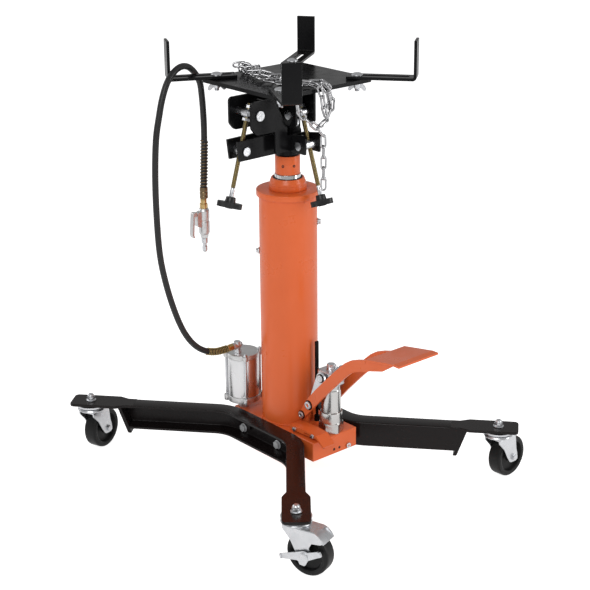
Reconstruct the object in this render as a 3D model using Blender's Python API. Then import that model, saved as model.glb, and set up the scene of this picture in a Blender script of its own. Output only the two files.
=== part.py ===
"""Telescopic air and foot operated transmission jack.

Metres, +Z up, floor at z = 0.  The column's axis is the vertical line through AXIS_AT.  +X is the
short way across the base, and the foot pedal is on the -Y side.  A named empty stands on each
joint's axis and carries the pieces that move with that joint.
"""
from math import atan2, cos, pi, radians, sin, tau

import bmesh
import bpy
from mathutils import Matrix, Vector

# ---- driving dimensions -------------------------------------------------------------------------
AXIS_AT = (-0.0164, 0.0154)                # where the column stands, so that the box is centred on the origin
GAP = 0.0004                      # between pieces that touch
RUN = 0.0003                      # running clearance round pins and shafts
FLOOR_TO_LEG_TOP = 0.120
LEG_HEIGHT = 0.055
END_PLATE_LOW, END_PLATE_TOP = 0.1143, 0.1203
LEG_WIDTH = 0.038
LEG_WALL = 0.005
CASTER_AT = (0.282, 0.3445)       # swivel bolts, from the column's axis
LEG_ENDS_BEFORE_BOLT = 0.079
LEG_BEND_AT = (0.0807, 0.1094)    # where the straight middle turns out towards the casters
WHEEL_R = 0.0448
WHEEL_WIDTH = 0.030
CASTER_TRAIL = 0.031
BLOCK_X, BLOCK_BACK, BLOCK_FRONT = 0.0612, 0.115, -0.143
BLOCK_LOW, BLOCK_TOP = 0.075, 0.1175
TUBE_R, TUBE_WALL, TUBE_TOP = 0.060, 0.004, 0.610
RING_R, RING_TOP = 0.065, 0.623
GLAND_TOP = 0.647
STAGE_ONE_R, STAGE_TWO_R = 0.027, 0.0222
SLEEVE_R, SLEEVE_LOW, SLEEVE_TOP = 0.0256, 0.6556, 0.694
NECK_R, NECK_TOP = 0.021, 0.713
SIDE_PIN_Z = 0.765                # tilt axis along Y
FORE_PIN_Z = 0.800                # tilt axis along X
PLATE_X, PLATE_Y, PLATE_THICK, PLATE_TOP = 0.125, 0.116, 0.008, 0.850
BOLT_X, BOLT_Y = 0.100, 0.098     # the saddle arms' bolts
ARM_WIDTH, ARM_THICK, ARM_LENGTH, ARM_RISE = 0.038, 0.006, 0.140, 0.080
ROD_R = 0.00475
LEFT_TOP, LEFT_LOW = Vector((-0.101, 0, 0.795)), Vector((-0.1215, 0, 0.724))
RIGHT_TOP, RIGHT_LOW = Vector((0.008, -0.036, 0.786)), Vector((0.008, -0.057, 0.724))
PEDAL_PIVOT = (-0.066, 0.146)     # Y and Z
PEDAL_PIN = (-0.088, 0.175)
LINK_TOP = (-0.118, 0.243)
PUMP_AT = (0.012, -0.118)
PUMP_R, PUMP_TOP = 0.0233, 0.163
SLEEVE_BORE, PUMP_CORE_R = 0.0114, 0.0110
PEDAL_NEAR, PEDAL_FAR = -0.021, 0.050
LINK_NEAR, LINK_FAR = -0.0173, 0.0463
RELEASE_AT = (0.017, -0.068)
RELEASE_PIVOT = (-0.0775, 0.1255)  # Y and Z
RELEASE_LEFT, RELEASE_RIGHT, SHEET = -0.0532, -0.0210, 0.0025
SCREW_LENGTH = 0.1805             # from a screw's upper trunnion to its knob
OPEN_PIVOT = 0.0021               # clearance where a closed linkage is opened
MOTOR_AT = (-0.046, 0.101)
MOTOR_R = 0.0355
HOSE_R = 0.0065
VALVE_AT = (-0.1045, 0.1475)

# name, where its bolt stands, direction of the arm in degrees, bolt to bend
SADDLE_ARMS = (
    ("left", (-BOLT_X, BOLT_Y), 152, 0.101),
    ("right", (BOLT_X, -BOLT_Y), -51.5, 0.120),
    ("back", (BOLT_X, BOLT_Y), 34, 0.115),
    ("front", (-BOLT_X, -BOLT_Y), -119.5, 0.116),
)
# name, side along X, side along Y, direction that the wheel trails in, degrees
CASTERS = (
    ("left", -1, 1, 18.8),
    ("right", 1, -1, 4),
    ("front", -1, -1, -72.4),
    ("back", 1, 1, 12),
)
# the hose's route from the air motor over the left saddle arm to the hand valve
HOSE_ROUTE = (
    (-0.0890, 0.1010, 0.2630),
    (-0.1160, 0.1020, 0.2635),
    (-0.1400, 0.1050, 0.2700),
    (-0.1620, 0.1070, 0.2840),
    (-0.1820, 0.1080, 0.3060),
    (-0.2000, 0.1090, 0.3370),
    (-0.2180, 0.1090, 0.3820),
    (-0.2350, 0.1100, 0.4420),
    (-0.2460, 0.1120, 0.5080),
    (-0.2500, 0.1120, 0.5920),
    (-0.2500, 0.1110, 0.6740),
    (-0.2450, 0.1105, 0.7450),
    (-0.2350, 0.1110, 0.7900),
    (-0.2245, 0.1125, 0.8240),
    (-0.2095, 0.1150, 0.8530),
    (-0.1892, 0.1200, 0.8698),
    (-0.1657, 0.1280, 0.8764),
    (-0.1408, 0.1378, 0.8715),
    (-0.1197, 0.1439, 0.8558),
    (-0.1069, 0.1450, 0.8342),
    (-0.1030, 0.1450, 0.8090),
    (-0.1010, 0.1447, 0.7790),
    (-0.1000, 0.1445, 0.7450),
    (-0.1000, 0.1450, 0.7140),
    (-0.1005, 0.1455, 0.6930),
)
GUARD_ENDS_AT, UPPER_GUARD_LOW = 2, 0.5905

ORANGE = ("orange_enamel", (0.62, 0.135, 0.035), 0.0, 0.35)
BLACK = ("black_enamel", (0.012, 0.012, 0.013), 0.0, 0.28)
ZINC = ("zinc_plate", (0.62, 0.63, 0.64), 1.0, 0.32)
YELLOW_ZINC = ("yellow_zinc", (0.42, 0.34, 0.18), 1.0, 0.38)
CHROME = ("chrome", (0.72, 0.73, 0.74), 1.0, 0.12)
ALUMINIUM = ("aluminium", (0.66, 0.66, 0.67), 1.0, 0.30)
BRASS = ("brass", (0.55, 0.36, 0.13), 1.0, 0.30)
BLACK_PLASTIC = ("black_plastic", (0.015, 0.015, 0.016), 0.0, 0.5)
TYRE = ("caster_polymer", (0.014, 0.014, 0.015), 0.0, 0.55)
RUBBER = ("hose_rubber", (0.010, 0.010, 0.011), 0.0, 0.6)

PLACES = {}


# ---- scene and materials ------------------------------------------------------------------------
def clear_scene():
    for old in list(bpy.data.objects):
        bpy.data.objects.remove(old, do_unlink=True)


def material(spec):
    name, colour, metallic, roughness = spec
    found = bpy.data.materials.get(name)
    if found:
        return found
    made = bpy.data.materials.new(name)
    made.use_nodes = True
    shader = made.node_tree.nodes["Principled BSDF"]
    shader.inputs["Base Color"].default_value = (*colour, 1)
    shader.inputs["Metallic"].default_value = metallic
    shader.inputs["Roughness"].default_value = roughness
    made.diffuse_color = (*colour, 1)
    return made


def joint(name, at, parent=None):
    """An empty on a joint's axis; its children's meshes are drawn in the jack's own frame."""
    empty = bpy.data.objects.new(name, None)
    bpy.context.scene.collection.objects.link(empty)
    PLACES[name] = Vector(at)
    if parent:
        empty.parent = bpy.data.objects[parent]
        empty.location = PLACES[name] - PLACES[parent]
    else:
        empty.location = (*AXIS_AT, 0)
    empty.empty_display_size = 0.02
    return name


def place(name, mesh_data, carrier, spec=None):
    made = bpy.data.objects.new(name, mesh_data)
    bpy.context.scene.collection.objects.link(made)
    made.parent = bpy.data.objects[carrier]
    if spec:
        made.data.materials.append(material(spec))
    return made


def piece(name, bm, carrier, spec=None, sharp=35):
    """Turns a bmesh drawn in the jack's frame into an object carried by a joint's empty."""
    bmesh.ops.translate(bm, verts=bm.verts, vec=-PLACES[carrier])
    bmesh.ops.recalc_face_normals(bm, faces=bm.faces)
    mesh_data = bpy.data.meshes.new(name)
    bm.to_mesh(mesh_data)
    bm.free()
    mesh_data.shade_smooth()
    mesh_data.set_sharp_from_angle(angle=radians(sharp))
    return place(name, mesh_data, carrier, spec)


def combine(target, bm, operation="DIFFERENCE"):
    """Adds or cuts a shape with a Boolean; the shape itself is only a hidden tool."""
    carrier = target.parent.name
    tool = piece(f"{target.name}.{operation.lower()}.{len(target.modifiers)}", bm, carrier)
    tool.hide_render = True
    tool.display_type = "WIRE"
    modifier = target.modifiers.new(operation.lower(), "BOOLEAN")
    modifier.operation = operation
    modifier.solver = "EXACT"
    modifier.object = tool
    return target


def add(target, *shapes):
    for bm in shapes:
        combine(target, bm, "UNION")
    return target


def cut(target, *shapes):
    for bm in shapes:
        combine(target, bm, "DIFFERENCE")
    return target


# ---- shapes, all drawn in the jack's frame --------------------------------------------------------
def box(low, high, bevel=0.0, segments=1):
    low, high = Vector(low), Vector(high)
    bm = bmesh.new()
    bmesh.ops.create_cube(bm, size=1)
    bmesh.ops.scale(bm, verts=bm.verts, vec=high - low)
    bmesh.ops.translate(bm, verts=bm.verts, vec=(high + low) / 2)
    if bevel:
        bmesh.ops.bevel(bm, geom=bm.edges[:], offset=bevel, segments=segments, affect="EDGES")
    return bm


def rod(start, end, radius, sides=16, end_radius=None):
    start, end = Vector(start), Vector(end)
    bm = bmesh.new()
    second = radius if end_radius is None else end_radius
    bmesh.ops.create_cone(bm, cap_ends=True, segments=sides, radius1=radius, radius2=second,
                          depth=(end - start).length)
    turn = Vector((0, 0, 1)).rotation_difference(end - start).to_matrix().to_4x4()
    bmesh.ops.transform(bm, verts=bm.verts, matrix=Matrix.Translation((start + end) / 2) @ turn)
    return bm


def turned(profile, centre=(0, 0), sides=24):
    """A closed ring: (radius, z) points spun about the vertical through the centre."""
    bm = bmesh.new()
    rings = []
    for step in range(sides):
        angle = tau * step / sides
        rings.append([
            bm.verts.new((centre[0] + r * cos(angle), centre[1] + r * sin(angle), z))
            for r, z in profile
        ])
    for step, ring in enumerate(rings):
        after = rings[(step + 1) % sides]
        for here in range(len(profile)):
            there = (here + 1) % len(profile)
            bm.faces.new((ring[here], after[here], after[there], ring[there]))
    return bm


def solid_turned(profile, centre=(0, 0), sides=24):
    """A turned solid that is closed at both ends: its (radius, z) points run from low to high."""
    bm = bmesh.new()
    rings = []
    for r, z in profile:
        rings.append([
            bm.verts.new((centre[0] + r * cos(tau * s / sides), centre[1] + r * sin(tau * s / sides), z))
            for s in range(sides)
        ])
    for low, high in zip(rings, rings[1:]):
        for s in range(sides):
            after = (s + 1) % sides
            bm.faces.new((low[s], low[after], high[after], high[s]))
    bm.faces.new(reversed(rings[0]))
    bm.faces.new(rings[-1])
    return bm


def slab(outline, axis, low, high):
    """A flat outline extruded along X, Y or Z; it is given in the other two axes, in order."""
    bm = bmesh.new()

    def corner(point, depth):
        values = list(point)
        values.insert("XYZ".index(axis), depth)
        return bm.verts.new(values)

    near = [corner(p, low) for p in outline]
    far = [corner(p, high) for p in outline]
    bm.faces.new(near)
    bm.faces.new(reversed(far))
    for i in range(len(outline)):
        j = (i + 1) % len(outline)
        bm.faces.new((near[j], near[i], far[i], far[j]))
    return bm


def rounded(outline, radii, steps=4):
    """Rounds the corners of a closed outline; radii is one number or one for each corner."""
    count = len(outline)
    if not hasattr(radii, "__len__"):
        radii = [radii] * count
    out = []
    for i, radius in enumerate(radii):
        here = Vector(outline[i])
        if not radius:
            out.append(here)
            continue
        to_last = (Vector(outline[i - 1]) - here).normalized()
        to_next = (Vector(outline[(i + 1) % count]) - here).normalized()
        half = to_last.angle(to_next) / 2
        centre = here + (to_last + to_next).normalized() * radius / sin(half)
        reach = radius * cos(half) / sin(half)
        first = here + to_last * reach - centre
        last = here + to_next * reach - centre
        sweep = first.angle_signed(last)
        for k in range(steps + 1):
            turn = -sweep * k / steps
            spun = Vector((
                first.x * cos(turn) - first.y * sin(turn),
                first.x * sin(turn) + first.y * cos(turn),
            ))
            out.append(centre + spun)
    return out


def band(line, widths, steps=6):
    """The outline of a strip along a line, with a width at each point and a round start."""
    points = [Vector(p) for p in line]
    left, right = [], []
    for i, here in enumerate(points):
        before = points[max(i - 1, 0)]
        after = points[min(i + 1, len(points) - 1)]
        along = (after - before).normalized()
        side = Vector((-along.y, along.x)) * widths[i] / 2
        left.append(here + side)
        right.append(here - side)
    start = (points[1] - points[0]).normalized()
    facing = atan2(-start.y, -start.x)
    nose = [
        points[0] + Vector((cos(facing + a), sin(facing + a))) * widths[0] / 2
        for a in [pi / 2 - pi * k / steps for k in range(1, steps)]
    ]
    return left[::-1] + nose[::-1] + right


def smooth_line(points, per_span):
    """A Catmull-Rom curve through the points, with per_span steps between neighbours."""
    knots = [Vector(p) for p in points]
    knots = [2 * knots[0] - knots[1]] + knots + [2 * knots[-1] - knots[-2]]
    out = []
    for i in range(1, len(knots) - 2):
        a, b, c, d = knots[i - 1:i + 3]
        for step in range(per_span):
            t = step / per_span
            out.append(0.5 * (2 * b + (c - a) * t + (2 * a - 5 * b + 4 * c - d) * t ** 2
                              + (3 * b - a - 3 * c + d) * t ** 3))
    out.append(knots[-2])
    return out


def cord(name, points, radius, carrier, spec, resolution=2):
    data = bpy.data.curves.new(name, "CURVE")
    data.dimensions = "3D"
    data.bevel_depth = radius
    data.bevel_resolution = resolution
    data.use_fill_caps = True
    spline = data.splines.new("POLY")
    spline.points.add(len(points) - 1)
    for point, at in zip(spline.points, points):
        point.co = (*(Vector(at) - PLACES[carrier]), 1)
    return place(name, data, carrier, spec)


def turn_about(bm, centre, degrees, axis="Z"):
    spin = Matrix.Translation(centre) @ Matrix.Rotation(radians(degrees), 4, axis)
    bmesh.ops.transform(bm, verts=bm.verts, matrix=spin @ Matrix.Translation(-Vector(centre)))
    return bm


# ---- base ---------------------------------------------------------------------------------------
def leg_line(side):
    """Stations along a leg's centre line: the point and the direction, with rounded bends."""
    bend_x, bend_y = LEG_BEND_AT
    bolt = Vector((CASTER_AT[0] - bend_x, CASTER_AT[1] - bend_y))
    lean = atan2(bolt.x, bolt.y)
    bend_r, steps = 0.080, 5
    reach = bend_r * (1 - cos(lean)) / sin(lean)
    length = bolt.length
    stations = []
    for end in (1, -1):
        half = [(0.0, bend_y - reach, 0.0)]
        for k in range(1, steps + 1):
            a = lean * k / steps
            half.append((bend_r * (1 - cos(a)), bend_y - reach + bend_r * sin(a), a))
        far = length - LEG_ENDS_BEFORE_BOLT
        half.append((far * sin(lean), bend_y + far * cos(lean), lean))
        ordered = half[::-1] if end == 1 else half
        for out, along, angle in ordered:
            point = Vector((side * (bend_x + out), end * along))
            tangent = Vector((-side * end * sin(angle), -cos(angle)))
            stations.append((point, tangent))
    return stations, lean, length


def leg(name, side):
    """A bent C channel with its web against the base block, open on its outer side."""
    stations, lean, length = leg_line(side)
    half, top, low = LEG_WIDTH / 2, FLOOR_TO_LEG_TOP, FLOOR_TO_LEG_TOP - LEG_HEIGHT
    section = (
        (-half, low), (half, low), (half, top), (-half, top),
        (-half, top - LEG_WALL), (half - LEG_WALL, top - LEG_WALL),
        (half - LEG_WALL, low + LEG_WALL), (-half, low + LEG_WALL),
    )
    slope = 0.34                  # the ends' lower edge is set back from the upper one
    bm = bmesh.new()
    rings = []
    for i, (point, tangent) in enumerate(stations):
        across = Vector((tangent.y, -tangent.x))
        if across.x * side > 0:
            across = -across
        lead = {0: -1, len(stations) - 1: 1}.get(i, 0)
        ring = []
        for u, z in section:
            shift = lead * ((z - low) - LEG_HEIGHT / 2) * slope
            at = point + across * u + tangent * shift
            ring.append(bm.verts.new((at.x, at.y, z)))
        rings.append(ring)
    for first, second in zip(rings, rings[1:]):
        for i in range(len(section)):
            j = (i + 1) % len(section)
            bm.faces.new((first[i], first[j], second[j], second[i]))
    bm.faces.new(rings[0])
    bm.faces.new(reversed(rings[-1]))
    made = piece(name, bm, "jack", BLACK)
    for end in (1, -1):
        add(made, *end_plate(side, end, lean))
        bolt_at = (side * CASTER_AT[0], end * CASTER_AT[1])
        cut(made, rod((*bolt_at, 0.10), (*bolt_at, 0.13), 0.0065, 12))
    return made


def end_plate(side, end, lean):
    """The flat plate that a caster hangs from and the slanted gusset that closes the channel's
    end under it, drawn towards +Y and then turned to their leg."""
    wide, narrow = 0.028, LEG_WIDTH / 2 - GAP
    outline = [(-narrow, -0.100), (narrow, -0.100), (narrow, -0.081), (wide, -0.061),
               (wide, 0.042), (-wide, 0.042), (-wide, -0.061), (-narrow, -0.081)]
    outline = rounded(outline, [0, 0, 0, 0, 0.010, 0.010, 0, 0])
    plate = slab(outline, "Z", END_PLATE_LOW, END_PLATE_TOP)
    slanted = [(-0.0712, 0.1155), (-0.0637, 0.1155), (-0.0850, 0.0560), (-0.0870, 0.0545),
               (-0.0925, 0.0545), (-0.0935, 0.0560)]
    gusset = slab(slanted, "X", -0.0185, 0.0185)
    angle = -lean * side if end == 1 else pi + lean * side
    move = Matrix.Translation((side * CASTER_AT[0], end * CASTER_AT[1], 0))
    for bm in (plate, gusset):
        bmesh.ops.transform(bm, verts=bm.verts, matrix=move @ Matrix.Rotation(angle, 4, "Z"))
    return plate, gusset


def base_block():
    made = piece(
        "base_block",
        box((-BLOCK_X, BLOCK_FRONT, BLOCK_LOW), (BLOCK_X, BLOCK_BACK, BLOCK_TOP), 0.0012),
        "jack", ORANGE,
    )
    for x, z, radius in ((-0.002, 0.0855, 0.0032), (0.013, 0.0855, 0.0032), (-0.031, 0.0975, 0.0018)):
        cut(made, rod((x, BLOCK_FRONT - 0.01, z), (x, BLOCK_FRONT + 0.012, z), radius, 12))
    screw = (0.037, 0.0835)
    add(made, rod((screw[0], BLOCK_FRONT + 0.01, screw[1]), (screw[0], BLOCK_FRONT - 0.003, screw[1]),
                  0.0052, 6))
    y, z = RELEASE_PIVOT
    add(
        made,
        box((-0.046, y - 0.0065, BLOCK_TOP - 0.005), (-0.027, y + 0.0065, z + 0.003)),
        rod((RELEASE_LEFT - 0.0023, y, z), (RELEASE_RIGHT + 0.0025, y, z), 0.0025, 12),
        rod((RELEASE_LEFT - 0.0040, y, z), (RELEASE_LEFT - 0.0005, y, z), 0.0048, 12),
        rod((RELEASE_RIGHT + 0.0005, y, z), (RELEASE_RIGHT + 0.0020, y, z), 0.0040, 12),
    )


def column():
    low = BLOCK_TOP + GAP
    piece("reservoir_tube", turned([
        (TUBE_R - TUBE_WALL, low), (TUBE_R, low), (TUBE_R, TUBE_TOP), (TUBE_R - TUBE_WALL, TUBE_TOP),
    ], sides=40), "jack", ORANGE)
    piece("reservoir_cap", turned([
        (0.0278, TUBE_TOP + GAP), (RING_R, TUBE_TOP + GAP), (RING_R, RING_TOP - 0.001),
        (RING_R - 0.001, RING_TOP), (0.0278, RING_TOP),
    ], sides=36), "jack", ORANGE)
    piece("gland_nut", turned([
        (0.0274, RING_TOP + GAP), (0.0387, RING_TOP + GAP), (0.0387, 0.633), (0.0370, 0.6345),
        (0.0370, 0.638), (0.0335, GLAND_TOP), (0.0274, GLAND_TOP),
    ], sides=28), "jack", ORANGE)
    plug_direction = Vector((cos(radians(-95)), sin(radians(-95)), 0))
    plug_at = Vector((0, 0, 0.555)) + plug_direction * (TUBE_R + GAP)
    plug = piece("filler_plug", rod(plug_at, plug_at + plug_direction * 0.003, 0.0075, 16), "jack", ZINC)
    add(plug, rod(plug_at + plug_direction * 0.002, plug_at + plug_direction * 0.008, 0.0055, 6))


def rams():
    piece("ram_stage_one", turned([
        (0.0250, 0.130), (0.0329, 0.130), (0.0329, 0.150), (STAGE_ONE_R, 0.152),
        (STAGE_ONE_R, 0.655), (0.0226, 0.655), (0.0226, 0.640), (0.0250, 0.638),
    ]), "ram_one", CHROME)
    piece("ram_stage_two", solid_turned([
        (0.0247, 0.140), (0.0247, 0.155), (STAGE_TWO_R, 0.157), (STAGE_TWO_R, 0.672),
    ]), "ram_two", CHROME)
    piece("ram_sleeve", turned([
        (0.0226, SLEEVE_LOW), (SLEEVE_R, SLEEVE_LOW), (SLEEVE_R, SLEEVE_TOP), (0.0226, SLEEVE_TOP),
    ]), "ram_two", ORANGE)


# ---- head ---------------------------------------------------------------------------------------
def head_yoke():
    """The swivel yoke: its neck turns in the sleeve, and its arm carries the left screw."""
    yoke = piece("head_yoke", solid_turned([
        (STAGE_TWO_R, 0.6725), (STAGE_TWO_R, SLEEVE_TOP - 0.001), (NECK_R, SLEEVE_TOP + GAP),
        (NECK_R, NECK_TOP),
    ]), "head_swivel", BLACK)
    add(yoke, box((-0.040, -0.0165, 0.7065), (0.022, 0.0165, 0.7155)))
    side = [(-0.138, 0.706), (0.022, 0.706), (0.022, 0.745), (0.012, 0.765)]
    side += [(0.012 * cos(a), SIDE_PIN_Z + 0.012 * sin(a)) for a in [pi * k / 6 for k in range(1, 6)]]
    side += [(-0.012, 0.765), (-0.026, 0.748), (-0.143, 0.746)]
    pin, reach = (0, SIDE_PIN_Z), 0.0210
    for y in (-0.018, 0.013):
        add(yoke, slab(side, "Y", y, y + 0.005))
    add(yoke, box((-0.078, -0.014, 0.709), (-0.073, 0.014, 0.742)))
    cut(yoke, rod((pin[0], -reach, pin[1]), (pin[0], reach, pin[1]), 0.006 + RUN, 16))
    cut(yoke, rod((LEFT_LOW.x, -reach, LEFT_LOW.z), (LEFT_LOW.x, reach, LEFT_LOW.z), 0.005 + RUN, 16))
    return yoke


def tilt_bracket():
    """The middle bracket of the two-axis head, between the yoke and the saddle's bracket."""
    low, high = -0.0365, -0.0315
    front = [(-0.110, 0.757), (-0.062, 0.757), (-0.062, 0.712), (0.027, 0.712), (0.027, 0.744),
             (-0.031, 0.744), (-0.031, 0.760), (-0.064, 0.824), (-0.122, 0.824), (-0.122, 0.772)]
    front = rounded(front, [0.012, 0, 0, 0, 0, 0, 0, 0, 0.008, 0.010], 3)
    made = piece("tilt_bracket", slab(front, "Y", low, high), "tilt_side", BLACK)
    rear = [(-0.110, 0.757), (0.024, 0.757), (0.024, 0.812), (-0.031, 0.812), (-0.064, 0.824),
            (-0.122, 0.824), (-0.122, 0.772)]
    rear = rounded(rear, [0.012, 0, 0, 0, 0, 0.008, 0.010], 3)
    add(
        made,
        slab(rear, "Y", -high, -low),
        box((-0.067, low + 0.001, 0.770), (-0.062, -low - 0.001, 0.815)),
        box((-0.019, -0.0110, 0.787), (0.019, 0.0330, 0.812)),
        box((-0.014, 0.0195, 0.753), (0.014, 0.0245, 0.790)),
        box((-0.014, -0.0245, 0.719), (0.014, -0.0195, 0.777)),
        box((-0.013, -0.0330, 0.719), (0.013, -0.0205, 0.727)),
    )
    arm = [(-0.074, 0.709), (-0.033, 0.709), (-0.033, 0.7425), (-0.068, 0.748), (-0.076, 0.742)]
    for x in (-0.019, 0.019):
        add(made, slab(arm, "X", x, x + 0.005))
    ends = (RIGHT_LOW.y, RIGHT_LOW.z)
    cut(
        made,
        rod((0, -0.03, SIDE_PIN_Z), (0, 0.03, SIDE_PIN_Z), 0.006 + RUN, 16),
        rod((-0.03, 0, FORE_PIN_Z), (0.03, 0, FORE_PIN_Z), 0.006 + RUN, 16),
        rod((LEFT_TOP.x, -0.04, LEFT_TOP.z), (LEFT_TOP.x, 0.04, LEFT_TOP.z), 0.0065 + RUN, 16),
        rod((-0.03, *ends), (0.03, *ends), 0.005 + RUN, 16),
    )
    return made


def saddle():
    """The saddle's bracket, which pivots on the middle bracket, and the plate that it carries."""
    side = [(-0.050, 0.760), (0.022, 0.772), (0.022, 0.8417), (-0.057, 0.8417), (-0.057, 0.769)]
    side = rounded(side, [0.006, 0.008, 0, 0, 0.006], 3)
    made = piece("saddle_bracket", slab(side, "X", -0.0265, -0.0215), "tilt_fore", BLACK)
    add(
        made,
        slab(side, "X", 0.0215, 0.0265),
        box((-0.0255, -0.057, 0.8357), (0.0255, 0.022, 0.8417)),
    )
    top = (RIGHT_TOP.y, RIGHT_TOP.z)
    cut(
        made,
        rod((-0.03, 0, FORE_PIN_Z), (0.03, 0, FORE_PIN_Z), 0.006 + RUN, 16),
        rod((-0.03, *top), (0.03, *top), 0.0065 + RUN, 16),
    )
    corners = [(-PLATE_X, -PLATE_Y), (PLATE_X, -PLATE_Y), (PLATE_X, PLATE_Y), (-PLATE_X, PLATE_Y)]
    plate = piece("saddle_plate", slab(
        rounded(corners, 0.006, 3), "Z", PLATE_TOP - PLATE_THICK, PLATE_TOP,
    ), "tilt_fore", BLACK)
    for _, (x, y), _, _ in SADDLE_ARMS:
        cut(plate, rod((x, y, 0.83), (x, y, 0.86), 0.005 + RUN, 16))
    side_pin = piece("side_tilt_pin", rod((0, -0.028, SIDE_PIN_Z), (0, 0.0300, SIDE_PIN_Z), 0.006, 20),
                     "tilt_side", ZINC)
    add(side_pin, rod((0, -0.0275, SIDE_PIN_Z), (0, -0.0249, SIDE_PIN_Z), 0.0085, 16))
    fore_pin = piece("fore_tilt_pin", rod((-0.029, 0, FORE_PIN_Z), (0.029, 0, FORE_PIN_Z), 0.006, 20),
                     "tilt_fore", ZINC)
    add(fore_pin, rod((-0.0295, 0, FORE_PIN_Z), (-0.0269, 0, FORE_PIN_Z), 0.009, 16))


def tilt_screw(name, top, low, axis, carrier, half, ends):
    """The trunnion at a screw's top, the screw, its knob and the trunnion at its arm's end."""
    down = (low - top).normalized()
    unit = Vector((0, 1, 0)) if axis == "Y" else Vector((1, 0, 0))
    base = top - unit * top.dot(unit)
    upper = piece(f"upper_trunnion_{name}", rod(
        base - unit * (half[0] + 0.0027), base + unit * (half[0] + 0.0005), 0.0065, 20,
    ), f"{carrier}_swing", ZINC)
    add(
        upper,
        rod(base - unit * (half[0] + 0.0030), base - unit * (half[0] + GAP), 0.0100, 16),
        rod(top - unit * 0.009, top + unit * 0.009, 0.0095, 16),
    )
    cut(upper, rod(top - down * 0.02, top + down * 0.02, ROD_R + RUN, 16))
    knob_at = top + down * SCREW_LENGTH
    screw = piece(f"tilt_screw_{name}", rod(top - down * 0.021, knob_at - down * 0.0095, ROD_R, 16),
                  f"{carrier}_spin", YELLOW_ZINC)
    add(
        screw,
        rod(top - down * 0.0155, top - down * 0.0102, 0.0085, 6),
        rod(top + down * 0.0102, top + down * 0.0155, 0.0085, 6),
    )
    knob = piece(f"tilt_knob_{name}", rod(
        knob_at - down * 0.009, knob_at + down * 0.011, 0.0100, 16, end_radius=0.0115,
    ), f"{carrier}_spin", BLACK_PLASTIC)
    side = down.cross(unit).normalized()
    if name == "left":
        lean, reach = side * 0.76 - unit * 0.65, 0.0185
    else:
        lean, reach = unit * 0.93 + side * 0.37, 0.0170
    lean = lean.normalized()
    for way in (-1, 1):
        add(knob, rod(knob_at + down * 0.004, knob_at + down * 0.0045 + lean * way * reach, 0.0062, 12))
        tip = knob_at + down * 0.0045 + lean * way * reach
        add(knob, rod(tip - down * 0.0055, tip + down * 0.0055, 0.0068, 12))
    cut(knob, rod(knob_at - down * 0.03, knob_at - down * 0.0091, 0.02, 12))
    first, last = ends
    foot = low - unit * low.dot(unit)
    lower = piece(f"lower_trunnion_{name}", rod(
        foot + unit * (first + GAP), foot + unit * (last - GAP), 0.0098, 24,
    ), f"{carrier}_nut", ZINC)
    add(
        lower,
        rod(foot + unit * (first - 0.0075), foot + unit * (last + 0.0075), 0.005, 16),
        rod(foot + unit * (first - 0.0078), foot + unit * (first - 0.0054), 0.0088, 12),
    )
    cut(lower, rod(low - down * 0.02, low + down * 0.02, ROD_R + OPEN_PIVOT, 16))


def saddle_arm(name, bolt, degrees, reach):
    """A slotted L-shaped arm, drawn along +X from its bolt and then turned to its direction."""
    half, low = ARM_WIDTH / 2, PLATE_TOP + GAP
    inner = -(ARM_LENGTH - reach)
    side = [(inner, low), (reach - 0.008, low), (reach - 0.002, low + 0.0025), (reach, low + 0.008),
            (reach, low + ARM_RISE), (reach - ARM_THICK, low + ARM_RISE),
            (reach - ARM_THICK, low + 0.009), (reach - 0.009, low + ARM_THICK),
            (inner, low + ARM_THICK)]
    turn = Matrix.Translation((*bolt, 0)) @ Matrix.Rotation(radians(degrees), 4, "Z")

    def turned_to_arm(bm):
        bmesh.ops.transform(bm, verts=bm.verts, matrix=turn)
        return bm

    arm = piece(f"saddle_arm_{name}", turned_to_arm(slab(side, "Y", -half, half)),
                f"arm_slide_{name}", BLACK)
    slot_half = 0.0053
    first, last = inner + 0.008, reach - 0.016
    slot = rounded([(first, -slot_half), (last, -slot_half), (last, slot_half), (first, slot_half)],
                   slot_half - 0.0002, 4)
    cut(arm, turned_to_arm(slab(slot, "Z", low - 0.004, low + ARM_THICK + 0.004)))
    head_low = low + ARM_THICK + GAP
    bolt_piece = piece(f"arm_bolt_{name}", turned_to_arm(solid_turned([
        (0.0115, head_low), (0.0112, head_low + 0.0012), (0.0090, head_low + 0.0032),
        (0.0050, head_low + 0.0044),
    ], sides=16)), f"arm_swivel_{name}", ZINC)
    add(
        bolt_piece,
        turned_to_arm(rod((0, 0, 0.8240), (0, 0, head_low + 0.001), 0.005, 12)),
        turned_to_arm(rod((0, 0, 0.8290), (0, 0, PLATE_TOP - PLATE_THICK - GAP), 0.0075, 12)),
    )
    for way in (-1, 1):
        wing = [(way * 0.004, 0.834), (way * 0.013, 0.8245), (way * 0.019, 0.8285), (way * 0.012, 0.840),
                (way * 0.004, 0.841)]
        add(bolt_piece, turned_to_arm(slab(wing, "Y", -0.0015, 0.0015)))


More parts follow.
